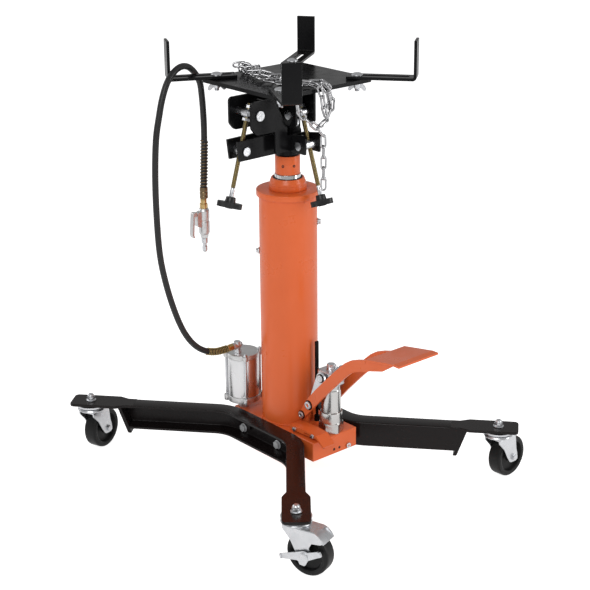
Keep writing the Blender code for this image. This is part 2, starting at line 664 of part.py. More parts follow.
# ---- pump and pedal -----------------------------------------------------------------------------
def pedal_bracket():
    low = BLOCK_TOP + GAP
    y, z = PEDAL_PIVOT
    near, far = PEDAL_NEAR + 0.0040, PEDAL_FAR - 0.0045
    plate = box((near + 0.0003, y - 0.0087, low), (far - 0.0003, y + 0.0039, low + 0.003))
    made = piece("pedal_bracket", plate, "jack", ORANGE)
    ear = rounded([(y - 0.009, low + 0.0003), (y + 0.0042, low + 0.0003), (y + 0.0042, z + 0.005),
                   (y - 0.009, z + 0.005)],
                  [0, 0, 0.003, 0.006], 3)
    add(
        made,
        slab(ear, "X", near, near + 0.0045),
        slab(ear, "X", far - 0.0045, far),
        rod((near + 0.001, y, z), (PEDAL_NEAR - 0.0032 - GAP - 0.003, y, z), 0.004, 12),
        rod((PEDAL_NEAR - 0.003 - GAP, y, z), (PEDAL_NEAR - 0.0062 - GAP, y, z), 0.0072, 16),
        rod((far - 0.001, y, z), (PEDAL_FAR + 0.0032 + GAP + 0.003, y, z), 0.004, 12),
        rod((PEDAL_FAR + 0.003 + GAP, y, z), (PEDAL_FAR + 0.0062 + GAP, y, z), 0.0072, 16),
    )


def pedal_frame():
    line = [PEDAL_PIVOT, PEDAL_PIN, (-0.1180, 0.2085), (-0.1453, 0.2365), (-0.1677, 0.2590),
            (-0.1900, 0.2805), (-0.2057, 0.2945), (-0.2195, 0.3035), (-0.2380, 0.3105),
            (-0.2600, 0.3165)]
    outline = band(line, [0.0155, 0.024] + [0.024] * (len(line) - 2))
    made = piece("pedal_frame", slab(outline, "X", PEDAL_NEAR - 0.003, PEDAL_NEAR + 0.003),
                 "pedal", ORANGE)
    tail = [(-0.2590, 0.3055), (-0.3063, 0.3195), (-0.3380, 0.3415), (-0.3380, 0.3435),
            (-0.2590, 0.3295)]
    tread = [(-0.2598, 0.3311), (-0.3387, 0.3450), (-0.3537, 0.3448), (-0.3537, 0.3408),
             (-0.3387, 0.3410), (-0.2598, 0.3271)]
    add(made, slab(outline, "X", PEDAL_FAR - 0.003, PEDAL_FAR + 0.003))
    for x in (PEDAL_NEAR, PEDAL_FAR):
        add(made, slab(tail, "X", x - 0.003, x + 0.003))
    add(made, slab(tread, "X", -0.026, 0.083))
    stretcher = [(-0.2585, 0.3150), (-0.2635, 0.3160), (-0.2635, 0.3290), (-0.2585, 0.3285)]
    add(made, slab(stretcher, "X", PEDAL_NEAR, PEDAL_FAR))
    y, z = PEDAL_PIVOT
    cut(made, rod((-0.05, y, z), (0.08, y, z), 0.004 + RUN, 12))
    y, z = PEDAL_PIN
    add(
        made,
        rod((PEDAL_NEAR - 0.001, y, z), (LINK_NEAR + 0.005, y, z), 0.004, 12),
        rod((PEDAL_NEAR - 0.001, y, z), (PEDAL_NEAR - 0.0068, y, z), 0.0082, 16),
        rod((PEDAL_FAR + 0.001, y, z), (LINK_FAR - 0.005, y, z), 0.004, 12),
        rod((PEDAL_FAR + 0.001, y, z), (PEDAL_FAR + 0.0068, y, z), 0.0082, 16),
    )


def pump():
    x, y = PUMP_AT
    low = BLOCK_TOP + GAP
    hexagon = turn_about(rod((x, y, low), (x, y, 0.139), 0.0262, 6), (x, y, 0), 22)
    cylinder = piece("pump_cylinder", hexagon, "jack", CHROME)
    add(
        cylinder,
        turned([(0.0208, 0.138), (PUMP_R, 0.138), (PUMP_R, PUMP_TOP - 0.002), (PUMP_R - 0.001, PUMP_TOP),
                (0.0208, PUMP_TOP)], PUMP_AT, 24),
        rod((x, y, 0.137), (x, y, 0.200), PUMP_CORE_R, 24),
    )
    head = rounded([(x - 0.0215, y - 0.023), (x + 0.0215, y - 0.023), (x + 0.0215, y + 0.023),
                    (x - 0.0215, y + 0.023)], 0.009, 2)
    plunger = piece("pump_plunger", slab(head, "Z", 0.2254, 0.255), "pump_plunger_slide", ZINC)
    add(
        plunger,
        turned([(SLEEVE_BORE, 0.152), (0.0204, 0.152), (0.0204, 0.227), (SLEEVE_BORE, 0.227)],
               PUMP_AT, 24),
        rod((x, y, 0.254), (x, y, 0.268), 0.0090, 6),
        rod((x + 0.0155, y + 0.0060, 0.254), (x + 0.0155, y + 0.0060, 0.260), 0.0040, 6),
    )
    top_y, top_z = LINK_TOP
    cut(plunger, rod((x - 0.03, top_y, top_z), (x + 0.03, top_y, top_z), 0.005 + OPEN_PIVOT, 16))


def pump_link():
    """Two plates joined by the pin through the plunger's head; they hang on the pedal's pins."""
    low, top = Vector(PEDAL_PIN), Vector(LINK_TOP)
    away = (top - low).normalized()
    side = Vector((away.y, -away.x))
    wide, narrow = 0.0125, 0.0085
    outline = []
    for k in range(7):
        a = pi * k / 6
        outline.append(top + side * wide * cos(a) + away * wide * sin(a))
    for k in range(7):
        a = pi * k / 6
        outline.append(low - side * narrow * cos(a) - away * narrow * sin(a))
    made = piece("pump_link", slab(outline, "X", LINK_NEAR, LINK_NEAR + 0.0035), "link_swing", ZINC)
    add(
        made,
        slab(outline, "X", LINK_FAR - 0.0035, LINK_FAR),
        rod((LINK_NEAR - 0.0005, *top), (LINK_FAR + 0.0005, *top), 0.005, 16),
    )
    cut(made, rod((LINK_NEAR - 0.01, *low), (LINK_FAR + 0.01, *low), 0.004 + RUN, 12))


def release_pedal():
    """A small channel of folded sheet beside the pump; its front is pressed down by foot."""
    ridge = [(-0.060, 0.1303), (-0.077, 0.1325), (-0.111, 0.1330), (-0.1425, 0.1313),
             (-0.1527, 0.1236), (-0.166, 0.1134)]
    inner = [(-0.1640, 0.1114), (-0.1513, 0.1211), (-0.1415, 0.1287), (-0.111, 0.1305),
             (-0.077, 0.1300), (-0.060, 0.1278)]
    sides = ridge[:5] + [(-0.1513, 0.1211), (-0.1415, 0.1245), (-0.060, 0.1205)]
    made = piece("release_pedal", slab(ridge + inner, "X", RELEASE_LEFT + 0.0002, RELEASE_RIGHT - 0.0002),
                 "release_pivot", ORANGE)
    for x in (RELEASE_LEFT, RELEASE_RIGHT - SHEET):
        shrunk = [(y, z - 0.0003) for y, z in sides[:5]] + sides[5:]
        add(made, slab(shrunk, "X", x, x + SHEET))
    slot = [(-0.104, 0.1280), (-0.139, 0.1276), (-0.137, 0.1256), (-0.106, 0.1250)]
    cut(made, slab(slot, "X", RELEASE_LEFT - 0.001, RELEASE_LEFT + SHEET + 0.001))
    screw = (-0.132, 0.1266)
    add(made, rod((RELEASE_LEFT - 0.003, *screw), (RELEASE_LEFT + 0.006, *screw), 0.0030, 10))
    y, z = RELEASE_PIVOT
    cut(made, rod((RELEASE_LEFT - 0.01, y, z), (RELEASE_RIGHT + 0.01, y, z), 0.0028, 12))


def release_lever():
    """An upright spindle with a flat grip, which opens the ram's return valve when it is turned."""
    x, y = RELEASE_AT
    low = BLOCK_TOP + 0.003 + 2 * GAP
    made = piece("release_lever", rod((x, y, low), (x, y, 0.133), 0.0062, 16), "release", BLACK)
    add(
        made,
        rod((x, y, 0.132), (x, y, 0.206), 0.0032, 12),
        box((x - 0.0040, y - 0.0028, 0.205), (x + 0.0040, y + 0.0028, 0.302), 0.0010),
    )


# ---- air motor, hose and valve ---------------------------------------------------------------------
def motor_cap(name, low, high):
    x, y = MOTOR_AT
    made = piece(name, rod((x, y, low), (x, y, high), MOTOR_R, 28), "jack", ALUMINIUM)
    for k in range(4):
        angle = radians(-121 + 90 * k)
        at = (x + 0.0365 * cos(angle), y + 0.0365 * sin(angle))
        add(made, rod((*at, low), (*at, high), 0.0062, 12))
    return made


def air_motor():
    x, y = MOTOR_AT
    low = motor_cap("air_motor_base", 0.1360, 0.1490)
    add(low, rod((x, y, BLOCK_TOP + GAP), (x, y, 0.1380), 0.0115, 6))
    piece("air_motor_barrel", turned([
        (0.0315, 0.1494), (0.0345, 0.1494), (0.0345, 0.2361), (0.0315, 0.2361),
    ], MOTOR_AT, 28), "jack", ALUMINIUM)
    motor_cap("air_motor_cap", 0.2365, 0.2470)
    piece("air_motor_piston", rod((x, y, 0.158), (x, y, 0.172), 0.0312, 28), "air_piston", ALUMINIUM)
    elbow = Vector((x - 0.015, y, 0.247))
    made = piece("air_elbow", rod(elbow + Vector((0, 0, GAP)), elbow + Vector((0, 0, 0.0270)), 0.0085, 6),
                 "jack", ZINC)
    axis = elbow + Vector((0, 0, 0.016))
    add(
        made,
        rod(axis, axis + Vector((-0.014, 0, 0)), 0.0085, 8),
        rod(axis + Vector((-0.012, 0, 0)), axis + Vector((-0.0276, 0, 0)), 0.0072, 6),
    )


def hose():
    line = smooth_line(HOSE_ROUTE, 2)
    start = GUARD_ENDS_AT * 2
    cord("hose_guard_lower", line[:start + 1], 0.0085, "jack", BRASS)
    along = (line[start] - line[start - 1]).normalized()
    lead = [line[start] + along * GAP, line[start] + along * 0.004]
    cord("hose_tube", lead + line[start + 1:], HOSE_R, "jack", RUBBER)
    top = Vector(HOSE_ROUTE[-1]) - Vector((0, 0, GAP))
    x, y = VALVE_AT
    low = Vector((x + 0.001, y - 0.0005, UPPER_GUARD_LOW))
    guard = piece("hose_guard_upper", rod(top, low + Vector((0, 0, 0.022)), 0.0080, 16), "jack", BRASS)
    add(guard, rod(low + Vector((0, 0, 0.024)), low, 0.0088, 16))


def valve():
    x, y = VALVE_AT
    top = UPPER_GUARD_LOW - GAP
    body = piece("air_valve_body", rod((x, y, top), (x, y, 0.568), 0.0070, 12), "jack", ALUMINIUM)
    add(
        body,
        rod((x, y, 0.570), (x, y, 0.512), 0.0115, 20),
        box((x - 0.020, y - 0.006, 0.532), (x - 0.004, y + 0.006, 0.560), 0.002),
        rod((x, y, 0.513), (x, y, 0.5055), 0.0085, 6),
    )
    piece("air_plug", solid_turned([
        (0.0045, 0.4740), (0.0055, 0.4765), (0.0055, 0.4860), (0.0042, 0.4875), (0.0042, 0.4920),
        (0.0070, 0.4930), (0.0070, 0.5051),
    ], VALVE_AT, 16), "jack", ZINC)
    hinge = PLACES["air_valve"]
    lever = [(hinge.x - 0.0030, hinge.z + 0.0040), (hinge.x - 0.0030, hinge.z - 0.0045),
             (hinge.x + 0.0030, hinge.z - 0.0045), (hinge.x + 0.0055, 0.5160),
             (hinge.x + 0.0035, 0.5100), (hinge.x + 0.0080, 0.5105), (hinge.x + 0.0105, 0.5170),
             (hinge.x + 0.0062, hinge.z + 0.0040)]
    lever = [(2 * hinge.x - p, q) for p, q in lever]
    piece("air_valve_lever", slab(lever, "Y", y - 0.0055, y + 0.0055), "air_valve", ALUMINIUM)


# ---- casters and chain ---------------------------------------------------------------------------
def caster(name, side_x, side_y, trail):
    """Fork, wheel and, on the front one, the brake lever; drawn trailing to +X, then turned."""
    bolt = Vector((side_x * CASTER_AT[0], side_y * CASTER_AT[1], 0))
    turn = Matrix.Translation(bolt) @ Matrix.Rotation(radians(trail), 4, "Z")

    def turned_to_trail(bm):
        bmesh.ops.transform(bm, verts=bm.verts, matrix=turn)
        return bm

    under = END_PLATE_LOW - GAP
    crown = 0.0955
    fork = piece(f"caster_fork_{name}", turned_to_trail(solid_turned([
        (0.0240, crown), (0.0310, crown + 0.004), (0.0310, under - 0.004), (0.0250, under),
    ], sides=16)), f"caster_swivel_{name}", ZINC)
    top = crown + 0.0045
    rear = [(0.0390, 0.0630), (0.0340, top)]
    if name == "front":
        rear = [(0.0390, 0.0630), (0.0450, 0.0740), (0.0640, 0.0765), (0.0704, 0.0803),
                (0.0655, 0.0875), (0.0585, 0.0935), (0.0500, 0.0980), (0.0400, top)]
    leg_outline = [(-0.0190, top), (-0.0190, 0.0900), (-0.0020, 0.0710), (0.0090, 0.0500),
                   (0.0195, 0.0375), (0.0260, 0.0335), (0.0360, 0.0335), (0.0425, 0.0400),
                   (0.0425, 0.0500), *rear]
    half = WHEEL_WIDTH / 2 + 0.0025
    shoe = [(CASTER_TRAIL + r * cos(radians(a)), WHEEL_R + r * sin(radians(a)))
            for r, angles in ((0.0528, range(43, 89, 9)), (0.0500, range(88, 42, -9))) for a in angles]
    parts = [
        slab(leg_outline, "Y", -half - 0.003, -half),
        slab(leg_outline, "Y", half, half + 0.003),
        box((-0.0188, -half - 0.0029, crown - 0.0002), (0.0338, half + 0.0029, top - 0.0003)),
        rod((CASTER_TRAIL, -half - 0.006, WHEEL_R), (CASTER_TRAIL, half + 0.006, WHEEL_R), 0.004, 12),
        rod((0, 0, under - 0.003), (0, 0, 0.1330), 0.0060, 12),
        rod((0, 0, END_PLATE_TOP + GAP), (0, 0, 0.1285), 0.0105, 6),
    ]
    if name == "front":
        parts.append(slab(shoe, "Y", -half - 0.0028, half + 0.0028))
    add(fork, *[turned_to_trail(bm) for bm in parts])
    wheel_half = WHEEL_WIDTH / 2
    tread_r = WHEEL_R / cos(pi / 24)
    profile = [(0.0044, -wheel_half - 0.0015), (0.0120, -wheel_half - 0.0015), (0.0150, -0.0070),
               (0.0310, -0.0070), (0.0330, -wheel_half), (tread_r, -wheel_half)]
    profile = profile + [(r, -z) for r, z in reversed(profile)]
    wheel = turned(profile)
    turn_about(wheel, (0, 0, 0), 7.5)
    lay = Matrix.Translation((CASTER_TRAIL, 0, WHEEL_R)) @ Matrix.Rotation(pi / 2, 4, "X")
    bmesh.ops.transform(wheel, verts=wheel.verts, matrix=lay)
    piece(f"caster_wheel_{name}", turned_to_trail(wheel), f"caster_roll_{name}", TYRE)
    if name == "front":
        brake_lever(turned_to_trail, half)


def brake_lever(turned_to_trail, half):
    """A small foot lever on the end of the front caster's axle."""
    y = -(half + 0.0066)
    x, z = CASTER_TRAIL, WHEEL_R
    wings = [(-0.0209, 0.0281), (0.0190, 0.0350), (0.0220, 0.0270), (0.0340, 0.0262),
             (0.0410, 0.0400), (0.0713, 0.0570), (0.0667, 0.0670), (0.0385, 0.0560),
             (0.0310, 0.0575), (0.0215, 0.0540), (-0.0231, 0.0379)]
    radii = [0.0045, 0.003, 0.003, 0.005, 0.003, 0.0045, 0.0045, 0.003, 0.002, 0.003, 0.0045]
    made = piece("caster_brake_lever", turned_to_trail(slab(rounded(wings, radii, 2), "Y", y - 0.004, y)),
                 "brake", ZINC)
    cut(made, turned_to_trail(rod((x, y - 0.001, z), (x, y + 0.004, z), 0.0044, 12)))


def chain():
    """The load chain's soft stretch: heaped across the plate, then hanging off its front edge."""
    heap = [(-0.030, 0.102, 0.8645), (-0.039, 0.078, 0.8640), (-0.047, 0.050, 0.8650),
            (-0.054, 0.020, 0.8640), (-0.060, -0.012, 0.8640), (-0.062, -0.045, 0.8645),
            (-0.059, -0.075, 0.8640), (-0.066, -0.100, 0.8640)]
    fall = [(-0.0750, -0.1195, 0.8590), (-0.0800, -0.1275, 0.8450), (-0.0840, -0.1285, 0.8280),
            (-0.0760, -0.1285, 0.8120), (-0.0610, -0.1285, 0.7970), (-0.0350, -0.1285, 0.7770),
            (-0.0200, -0.1285, 0.7580), (-0.0175, -0.1285, 0.7300), (-0.0175, -0.1285, 0.6550)]
    made = cord("load_chain", smooth_line(heap + fall, 3), 0.0125, "tilt_fore", ZINC)
    points = made.data.splines[0].points
    for i, point in enumerate(points):
        point.radius = 1.0 - 0.5 * min(max((i - 18) / 4, 0), 1)


# ---- assembly -----------------------------------------------------------------------------------
def joints():
    joint("jack", (0, 0, 0))
    joint("ram_one", (0, 0, 0.63), "jack")
    joint("ram_two", (0, 0, 0.65), "ram_one")
    joint("head_swivel", (0, 0, SLEEVE_TOP), "ram_two")
    joint("tilt_side", (0, 0, SIDE_PIN_Z), "head_swivel")
    joint("tilt_fore", (0, 0, FORE_PIN_Z), "tilt_side")
    joint("left_nut", LEFT_LOW, "head_swivel")
    joint("left_swing", LEFT_TOP, "tilt_side")
    joint("left_spin", LEFT_TOP, "left_swing")
    joint("right_nut", RIGHT_LOW, "tilt_side")
    joint("right_swing", RIGHT_TOP, "tilt_fore")
    joint("right_spin", RIGHT_TOP, "right_swing")
    for name, bolt, _, _ in SADDLE_ARMS:
        joint(f"arm_swivel_{name}", (*bolt, PLATE_TOP), "tilt_fore")
        joint(f"arm_slide_{name}", (*bolt, PLATE_TOP), f"arm_swivel_{name}")
    joint("pedal", (0, *PEDAL_PIVOT), "jack")
    joint("link_swing", (0, *PEDAL_PIN), "pedal")
    joint("pump_plunger_slide", (*PUMP_AT, PUMP_TOP), "jack")
    joint("release", (*RELEASE_AT, 0.125), "jack")
    joint("release_pivot", (0, *RELEASE_PIVOT), "jack")
    joint("air_piston", (*MOTOR_AT, 0.165), "jack")
    joint("air_valve", (VALVE_AT[0] - 0.0245, VALVE_AT[1], 0.5600), "jack")
    for name, side_x, side_y, trail in CASTERS:
        at = Vector((side_x * CASTER_AT[0], side_y * CASTER_AT[1], WHEEL_R))
        joint(f"caster_swivel_{name}", at, "jack")
        away = Vector((cos(radians(trail)), sin(radians(trail)), 0)) * CASTER_TRAIL
        joint(f"caster_roll_{name}", at + away, f"caster_swivel_{name}")
        if name == "front":
            joint("brake", at + away, f"caster_swivel_{name}")


def build():
    clear_scene()
    joints()
    base_block()
    leg("leg_left", -1)
    leg("leg_right", 1)
    column()
    rams()
    head_yoke()
    tilt_bracket()
    saddle()
    tilt_screw("left", LEFT_TOP, LEFT_LOW, "Y", "left", (0.0365,), (-0.013, 0.013))
    tilt_screw("right", RIGHT_TOP, RIGHT_LOW, "X", "right", (0.0265,), (-0.014, 0.019))
    for arm in SADDLE_ARMS:
        saddle_arm(*arm)
    pedal_bracket()
    pedal_frame()
    pump()
    pump_link()
    release_pedal()
    release_lever()
    air_motor()
    hose()
    valve()
    for one in CASTERS:
        caster(*one)
    chain()


build()
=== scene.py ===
"""Looks of the transmission jack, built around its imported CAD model.

Shapes are drawn in the jack's own frame, with the column's axis at x = y = 0 and the floor at z = 0,
in metres.  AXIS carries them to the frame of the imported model.
"""
from math import atan2, cos, pi, radians, sin, tau

import bmesh
import bpy
from mathutils import Matrix, Vector


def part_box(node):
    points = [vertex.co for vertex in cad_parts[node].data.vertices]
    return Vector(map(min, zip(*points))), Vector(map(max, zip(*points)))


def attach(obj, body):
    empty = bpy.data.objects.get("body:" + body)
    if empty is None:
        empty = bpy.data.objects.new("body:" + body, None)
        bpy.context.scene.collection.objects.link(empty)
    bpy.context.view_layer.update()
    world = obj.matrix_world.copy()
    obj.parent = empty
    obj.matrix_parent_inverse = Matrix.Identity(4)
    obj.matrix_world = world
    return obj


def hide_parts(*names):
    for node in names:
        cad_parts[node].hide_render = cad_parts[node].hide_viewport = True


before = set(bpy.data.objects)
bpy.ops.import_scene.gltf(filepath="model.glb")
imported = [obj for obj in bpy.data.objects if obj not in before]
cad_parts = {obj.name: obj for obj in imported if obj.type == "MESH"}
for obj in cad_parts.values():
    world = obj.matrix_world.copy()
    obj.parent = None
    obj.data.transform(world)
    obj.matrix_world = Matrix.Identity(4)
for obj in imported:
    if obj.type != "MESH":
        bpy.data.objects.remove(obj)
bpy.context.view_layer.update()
TUBE_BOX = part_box("reservoir_tube")
AXIS = Vector(((TUBE_BOX[0][0] + TUBE_BOX[1][0]) / 2, (TUBE_BOX[0][1] + TUBE_BOX[1][1]) / 2, 0))

# ---- sizes that the drawing shares with the CAD model ----
GAP = 0.0004
LEG_TOP, LEG_HEIGHT, LEG_WIDTH, LEG_WALL = 0.12, 0.055, 0.038, 0.005
END_PLATE_LOW, END_PLATE_TOP = 0.1143, 0.1203
CASTER_AT = (0.282, 0.3445)
LEG_ENDS_BEFORE_BOLT = 0.079
LEG_BEND_AT = (0.0807, 0.1094)
WHEEL_R, WHEEL_WIDTH, CASTER_TRAIL = 0.0448, 0.03, 0.031
BLOCK_TOP = 0.1175
TUBE_R, TUBE_WALL, TUBE_TOP = 0.06, 0.004, 0.61
RING_R, RING_TOP, GLAND_TOP = 0.065, 0.623, 0.647
SLEEVE_R, SLEEVE_LOW, SLEEVE_TOP = 0.0256, 0.6556, 0.694
PLATE_TOP = 0.85
BOLT_X, BOLT_Y = 0.1, 0.098
ARM_WIDTH, ARM_THICK, ARM_LENGTH, ARM_RISE = 0.038, 0.006, 0.14, 0.08
ROD_R, SCREW_LENGTH = 0.00475, 0.1805
LEFT_TOP, LEFT_LOW = Vector((-0.101, 0, 0.795)), Vector((-0.1215, 0, 0.724))
RIGHT_TOP, RIGHT_LOW = Vector((0.008, -0.036, 0.786)), Vector((0.008, -0.057, 0.724))
PEDAL_PIVOT, PEDAL_PIN, LINK_TOP = (-0.066, 0.146), (-0.088, 0.175), (-0.118, 0.243)
PEDAL_NEAR, PEDAL_FAR, LINK_NEAR, LINK_FAR = -0.021, 0.05, -0.0173, 0.0463
RELEASE_PIVOT, RELEASE_LEFT, RELEASE_RIGHT = (-0.0775, 0.1255), -0.0532, -0.021
PUMP_AT, PUMP_R, PUMP_TOP = (0.012, -0.118), 0.0233, 0.163
MOTOR_AT, MOTOR_R = (-0.046, 0.101), 0.0355
HOSE_R = 0.0065
VALVE_AT = (-0.1045, 0.1475)
SADDLE_ARMS = (
    ("left", (-BOLT_X, BOLT_Y), 152, 0.101),
    ("right", (BOLT_X, -BOLT_Y), -51.5, 0.12),
    ("back", (BOLT_X, BOLT_Y), 34, 0.115),
    ("front", (-BOLT_X, -BOLT_Y), -119.5, 0.116),
)
CASTERS = (
    ("left", -1, 1, 18.8),
    ("right", 1, -1, 4),
    ("front", -1, -1, -72.4),
    ("back", 1, 1, 12),
)
HOSE_ROUTE = (
    (-0.089, 0.101, 0.263),
    (-0.116, 0.102, 0.2635),
    (-0.14, 0.105, 0.27),
    (-0.162, 0.107, 0.284),
    (-0.182, 0.108, 0.306),
    (-0.2, 0.109, 0.337),
    (-0.218, 0.109, 0.382),
    (-0.235, 0.11, 0.442),
    (-0.246, 0.112, 0.508),
    (-0.25, 0.112, 0.592),
    (-0.25, 0.111, 0.674),
    (-0.245, 0.1105, 0.745),
    (-0.235, 0.111, 0.79),
    (-0.2245, 0.1125, 0.824),
    (-0.2095, 0.115, 0.853),
    (-0.1892, 0.12, 0.8698),
    (-0.1657, 0.128, 0.8764),
    (-0.1408, 0.1378, 0.8715),
    (-0.1197, 0.1439, 0.8558),
    (-0.1069, 0.145, 0.8342),
    (-0.103, 0.145, 0.809),
    (-0.101, 0.1447, 0.779),
    (-0.1, 0.1445, 0.745),
    (-0.1, 0.145, 0.714),
    (-0.1005, 0.1455, 0.693),
)
GUARD_ENDS_AT, UPPER_GUARD_LOW = 2, 0.5905


# ---- materials ----
def put(node, **values):
    """Sets a node's inputs; an underscore stands for a space in an input's name."""
    for name, value in values.items():
        node.inputs[name.replace("_", " ")].default_value = value


def finish(name, colour, rough, metallic=0.0, second=None, grain=60.0, bump=0.0, bump_scale=900.0,
           stretch=(1, 1, 1), coat=0.0, specular=0.5):
    """A Principled surface whose colour and roughness drift a little, with a fine bump."""
    made = bpy.data.materials.new(name)
    made.use_nodes = True
    nodes, links = made.node_tree.nodes, made.node_tree.links
    shader = nodes["Principled BSDF"]
    put(shader, Metallic=metallic, Coat_Weight=coat, Coat_Roughness=0.08, Specular_IOR_Level=specular)
    where = nodes.new("ShaderNodeTexCoord")
    mapping = nodes.new("ShaderNodeMapping")
    put(mapping, Scale=stretch)
    links.new(where.outputs["Object"], mapping.inputs["Vector"])
    drift = nodes.new("ShaderNodeTexNoise")
    put(drift, Scale=grain, Detail=5)
    links.new(mapping.outputs["Vector"], drift.inputs["Vector"])
    mix = nodes.new("ShaderNodeMix")
    mix.data_type = "RGBA"
    put(mix, A=(*colour, 1), B=(*(second or [c * 0.86 for c in colour]), 1))
    links.new(drift.outputs["Fac"], mix.inputs["Factor"])
    links.new(mix.outputs["Result"], shader.inputs["Base Color"])
    spread = nodes.new("ShaderNodeMapRange")
    put(spread, From_Min=0.3, From_Max=0.7, To_Min=rough * 0.75, To_Max=rough * 1.3)
    links.new(drift.outputs["Fac"], spread.inputs["Value"])
    links.new(spread.outputs["Result"], shader.inputs["Roughness"])
    if bump:
        fine = nodes.new("ShaderNodeTexNoise")
        put(fine, Scale=bump_scale, Detail=3)
        links.new(mapping.outputs["Vector"], fine.inputs["Vector"])
        raised = nodes.new("ShaderNodeBump")
        put(raised, Strength=1.0, Distance=bump)
        links.new(fine.outputs["Fac"], raised.inputs["Height"])
        links.new(raised.outputs["Normal"], shader.inputs["Normal"])
    return made


ORANGE = finish("orange_enamel", (0.73, 0.13, 0.028), 0.32, second=(0.69, 0.119, 0.025), grain=18,
                coat=0.1, specular=0.36)
BLACK = finish("black_enamel", (0.0045, 0.0045, 0.005), 0.22, second=(0.008, 0.008, 0.0085), grain=40,
               bump=0.000006, bump_scale=450, specular=0.11)
LEG_BLACK = finish("leg_enamel", (0.006, 0.0045, 0.0045), 0.24, second=(0.01, 0.007, 0.007), grain=30,
                   bump=0.00001, bump_scale=400, specular=0.2)
ZINC = finish("zinc_plate", (0.72, 0.73, 0.75), 0.34, 1.0, second=(0.6, 0.61, 0.63), grain=120)
BRIGHT_ZINC = finish("bright_zinc", (0.7, 0.71, 0.73), 0.3, 1.0, second=(0.58, 0.59, 0.61), grain=60)
YELLOW_ZINC = finish("yellow_zinc", (0.46, 0.37, 0.2), 0.3, 1.0, second=(0.3, 0.27, 0.17), grain=160,
                     stretch=(1, 1, 0.3))
CHAIN_ZINC = finish("chain_zinc", (0.52, 0.52, 0.53), 0.14, 1.0, second=(0.38, 0.38, 0.39), grain=150)
CHROME = finish("chrome", (0.78, 0.79, 0.8), 0.09, 1.0, second=(0.72, 0.73, 0.74), grain=30)
PUMP_STEEL = finish("pump_steel", (0.6, 0.6, 0.59), 0.22, 1.0, second=(0.55, 0.54, 0.53), grain=14)
ALUMINIUM = finish("aluminium", (0.74, 0.74, 0.75), 0.26, 1.0, second=(0.69, 0.69, 0.7), grain=10)
BOLT_ZINC = finish("bolt_zinc", (0.62, 0.63, 0.64), 0.36, 0.35, second=(0.54, 0.55, 0.56), grain=60)
CAST = finish("cast_aluminium", (0.68, 0.68, 0.68), 0.4, 1.0, second=(0.6, 0.6, 0.6), grain=60,
              bump=0.00001, bump_scale=900)
YELLOW_GUARD = finish("yellow_guard", (0.5, 0.36, 0.14), 0.34, 1.0, second=(0.34, 0.25, 0.11), grain=220)
GUARD_BRASS = finish("guard_spring", (0.24, 0.17, 0.09), 0.36, 1.0, second=(0.15, 0.11, 0.07), grain=220)
BRASS = finish("fitting_brass", (0.6, 0.42, 0.18), 0.26, 1.0, second=(0.45, 0.32, 0.15), grain=200)
PLASTIC = finish("knob_plastic", (0.007, 0.007, 0.0075), 0.34, second=(0.012, 0.012, 0.0125), grain=90,
                 bump=0.00001, bump_scale=1400, specular=0.4)
TYRE = finish("wheel_polymer", (0.006, 0.006, 0.0065), 0.38, second=(0.012, 0.012, 0.012), grain=70,
              bump=0.00002, bump_scale=1200, specular=0.2)
RUBBER = finish("hose_rubber", (0.008, 0.008, 0.0085), 0.42, second=(0.014, 0.0135, 0.0135), grain=350,
                bump=0.00002, bump_scale=1200, specular=0.4)
# Matte near-black: the real colour of the wiper seal and sleeve screws, and painted shade in the block's holes
# and the tyre's groove lines.
BLACK_AND_SHADE = finish("black_and_painted_shade", (0.004, 0.004, 0.004), 0.7)


# ---- mesh helpers ----
def piece(name, bm, body, material, replaces=(), bevel=0.0, sharp=32):
    """A mesh drawn in the jack's frame, moved to the model's frame and carried by a CAD body."""
    bmesh.ops.recalc_face_normals(bm, faces=bm.faces)
    bmesh.ops.translate(bm, verts=bm.verts, vec=AXIS)
    mesh = bpy.data.meshes.new(name)
    bm.to_mesh(mesh)
    bm.free()
    mesh.shade_smooth()
    mesh.set_sharp_from_angle(angle=radians(sharp))
    made = bpy.data.objects.new(name, mesh)
    bpy.context.scene.collection.objects.link(made)
    made.data.materials.append(material)
    if bevel:
        round_edges(made, bevel)
    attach(made, body)
    if replaces:
        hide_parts(*([replaces] if isinstance(replaces, str) else replaces))
    return made


def round_edges(made, width, segments=2, angle=32):
    modifier = made.modifiers.new("round_edges", "BEVEL")
    modifier.width = width
    modifier.segments = segments
    modifier.limit_method = "ANGLE"
    modifier.angle_limit = radians(angle)
    modifier.harden_normals = False
    modifier.miter_outer = "MITER_ARC"


def joined(*shapes):
    """One bmesh that holds several shapes."""
    out = bmesh.new()
    for bm in shapes:
        part = bpy.data.meshes.new("part")
        bmesh.ops.recalc_face_normals(bm, faces=bm.faces)
        bm.to_mesh(part)
        bm.free()
        out.from_mesh(part)
        bpy.data.meshes.remove(part)
    return out


def boolean(first, second, operation="DIFFERENCE"):
    """The exact Boolean of two bmeshes, as a new bmesh."""
    made = []
    for bm in (first, second):
        bmesh.ops.recalc_face_normals(bm, faces=bm.faces)
        mesh = bpy.data.meshes.new("boolean")
        bm.to_mesh(mesh)
        bm.free()
        made.append(bpy.data.objects.new("boolean", mesh))
        bpy.context.scene.collection.objects.link(made[-1])
    modifier = made[0].modifiers.new("boolean", "BOOLEAN")
    modifier.operation = operation
    modifier.object = made[1]
    evaluated = made[0].evaluated_get(bpy.context.evaluated_depsgraph_get())
    out = bmesh.new()
    out.from_mesh(evaluated.to_mesh())
    for old in made:
        bpy.data.objects.remove(old, do_unlink=True)
    return out


def transformed(bm, matrix):
    bmesh.ops.transform(bm, verts=bm.verts, matrix=matrix)
    return bm


def facing(at, direction):
    """A matrix that carries +Z to a direction and the origin to a place."""
    turn = Vector((0, 0, 1)).rotation_difference(Vector(direction)).to_matrix().to_4x4()
    return Matrix.Translation(at) @ turn


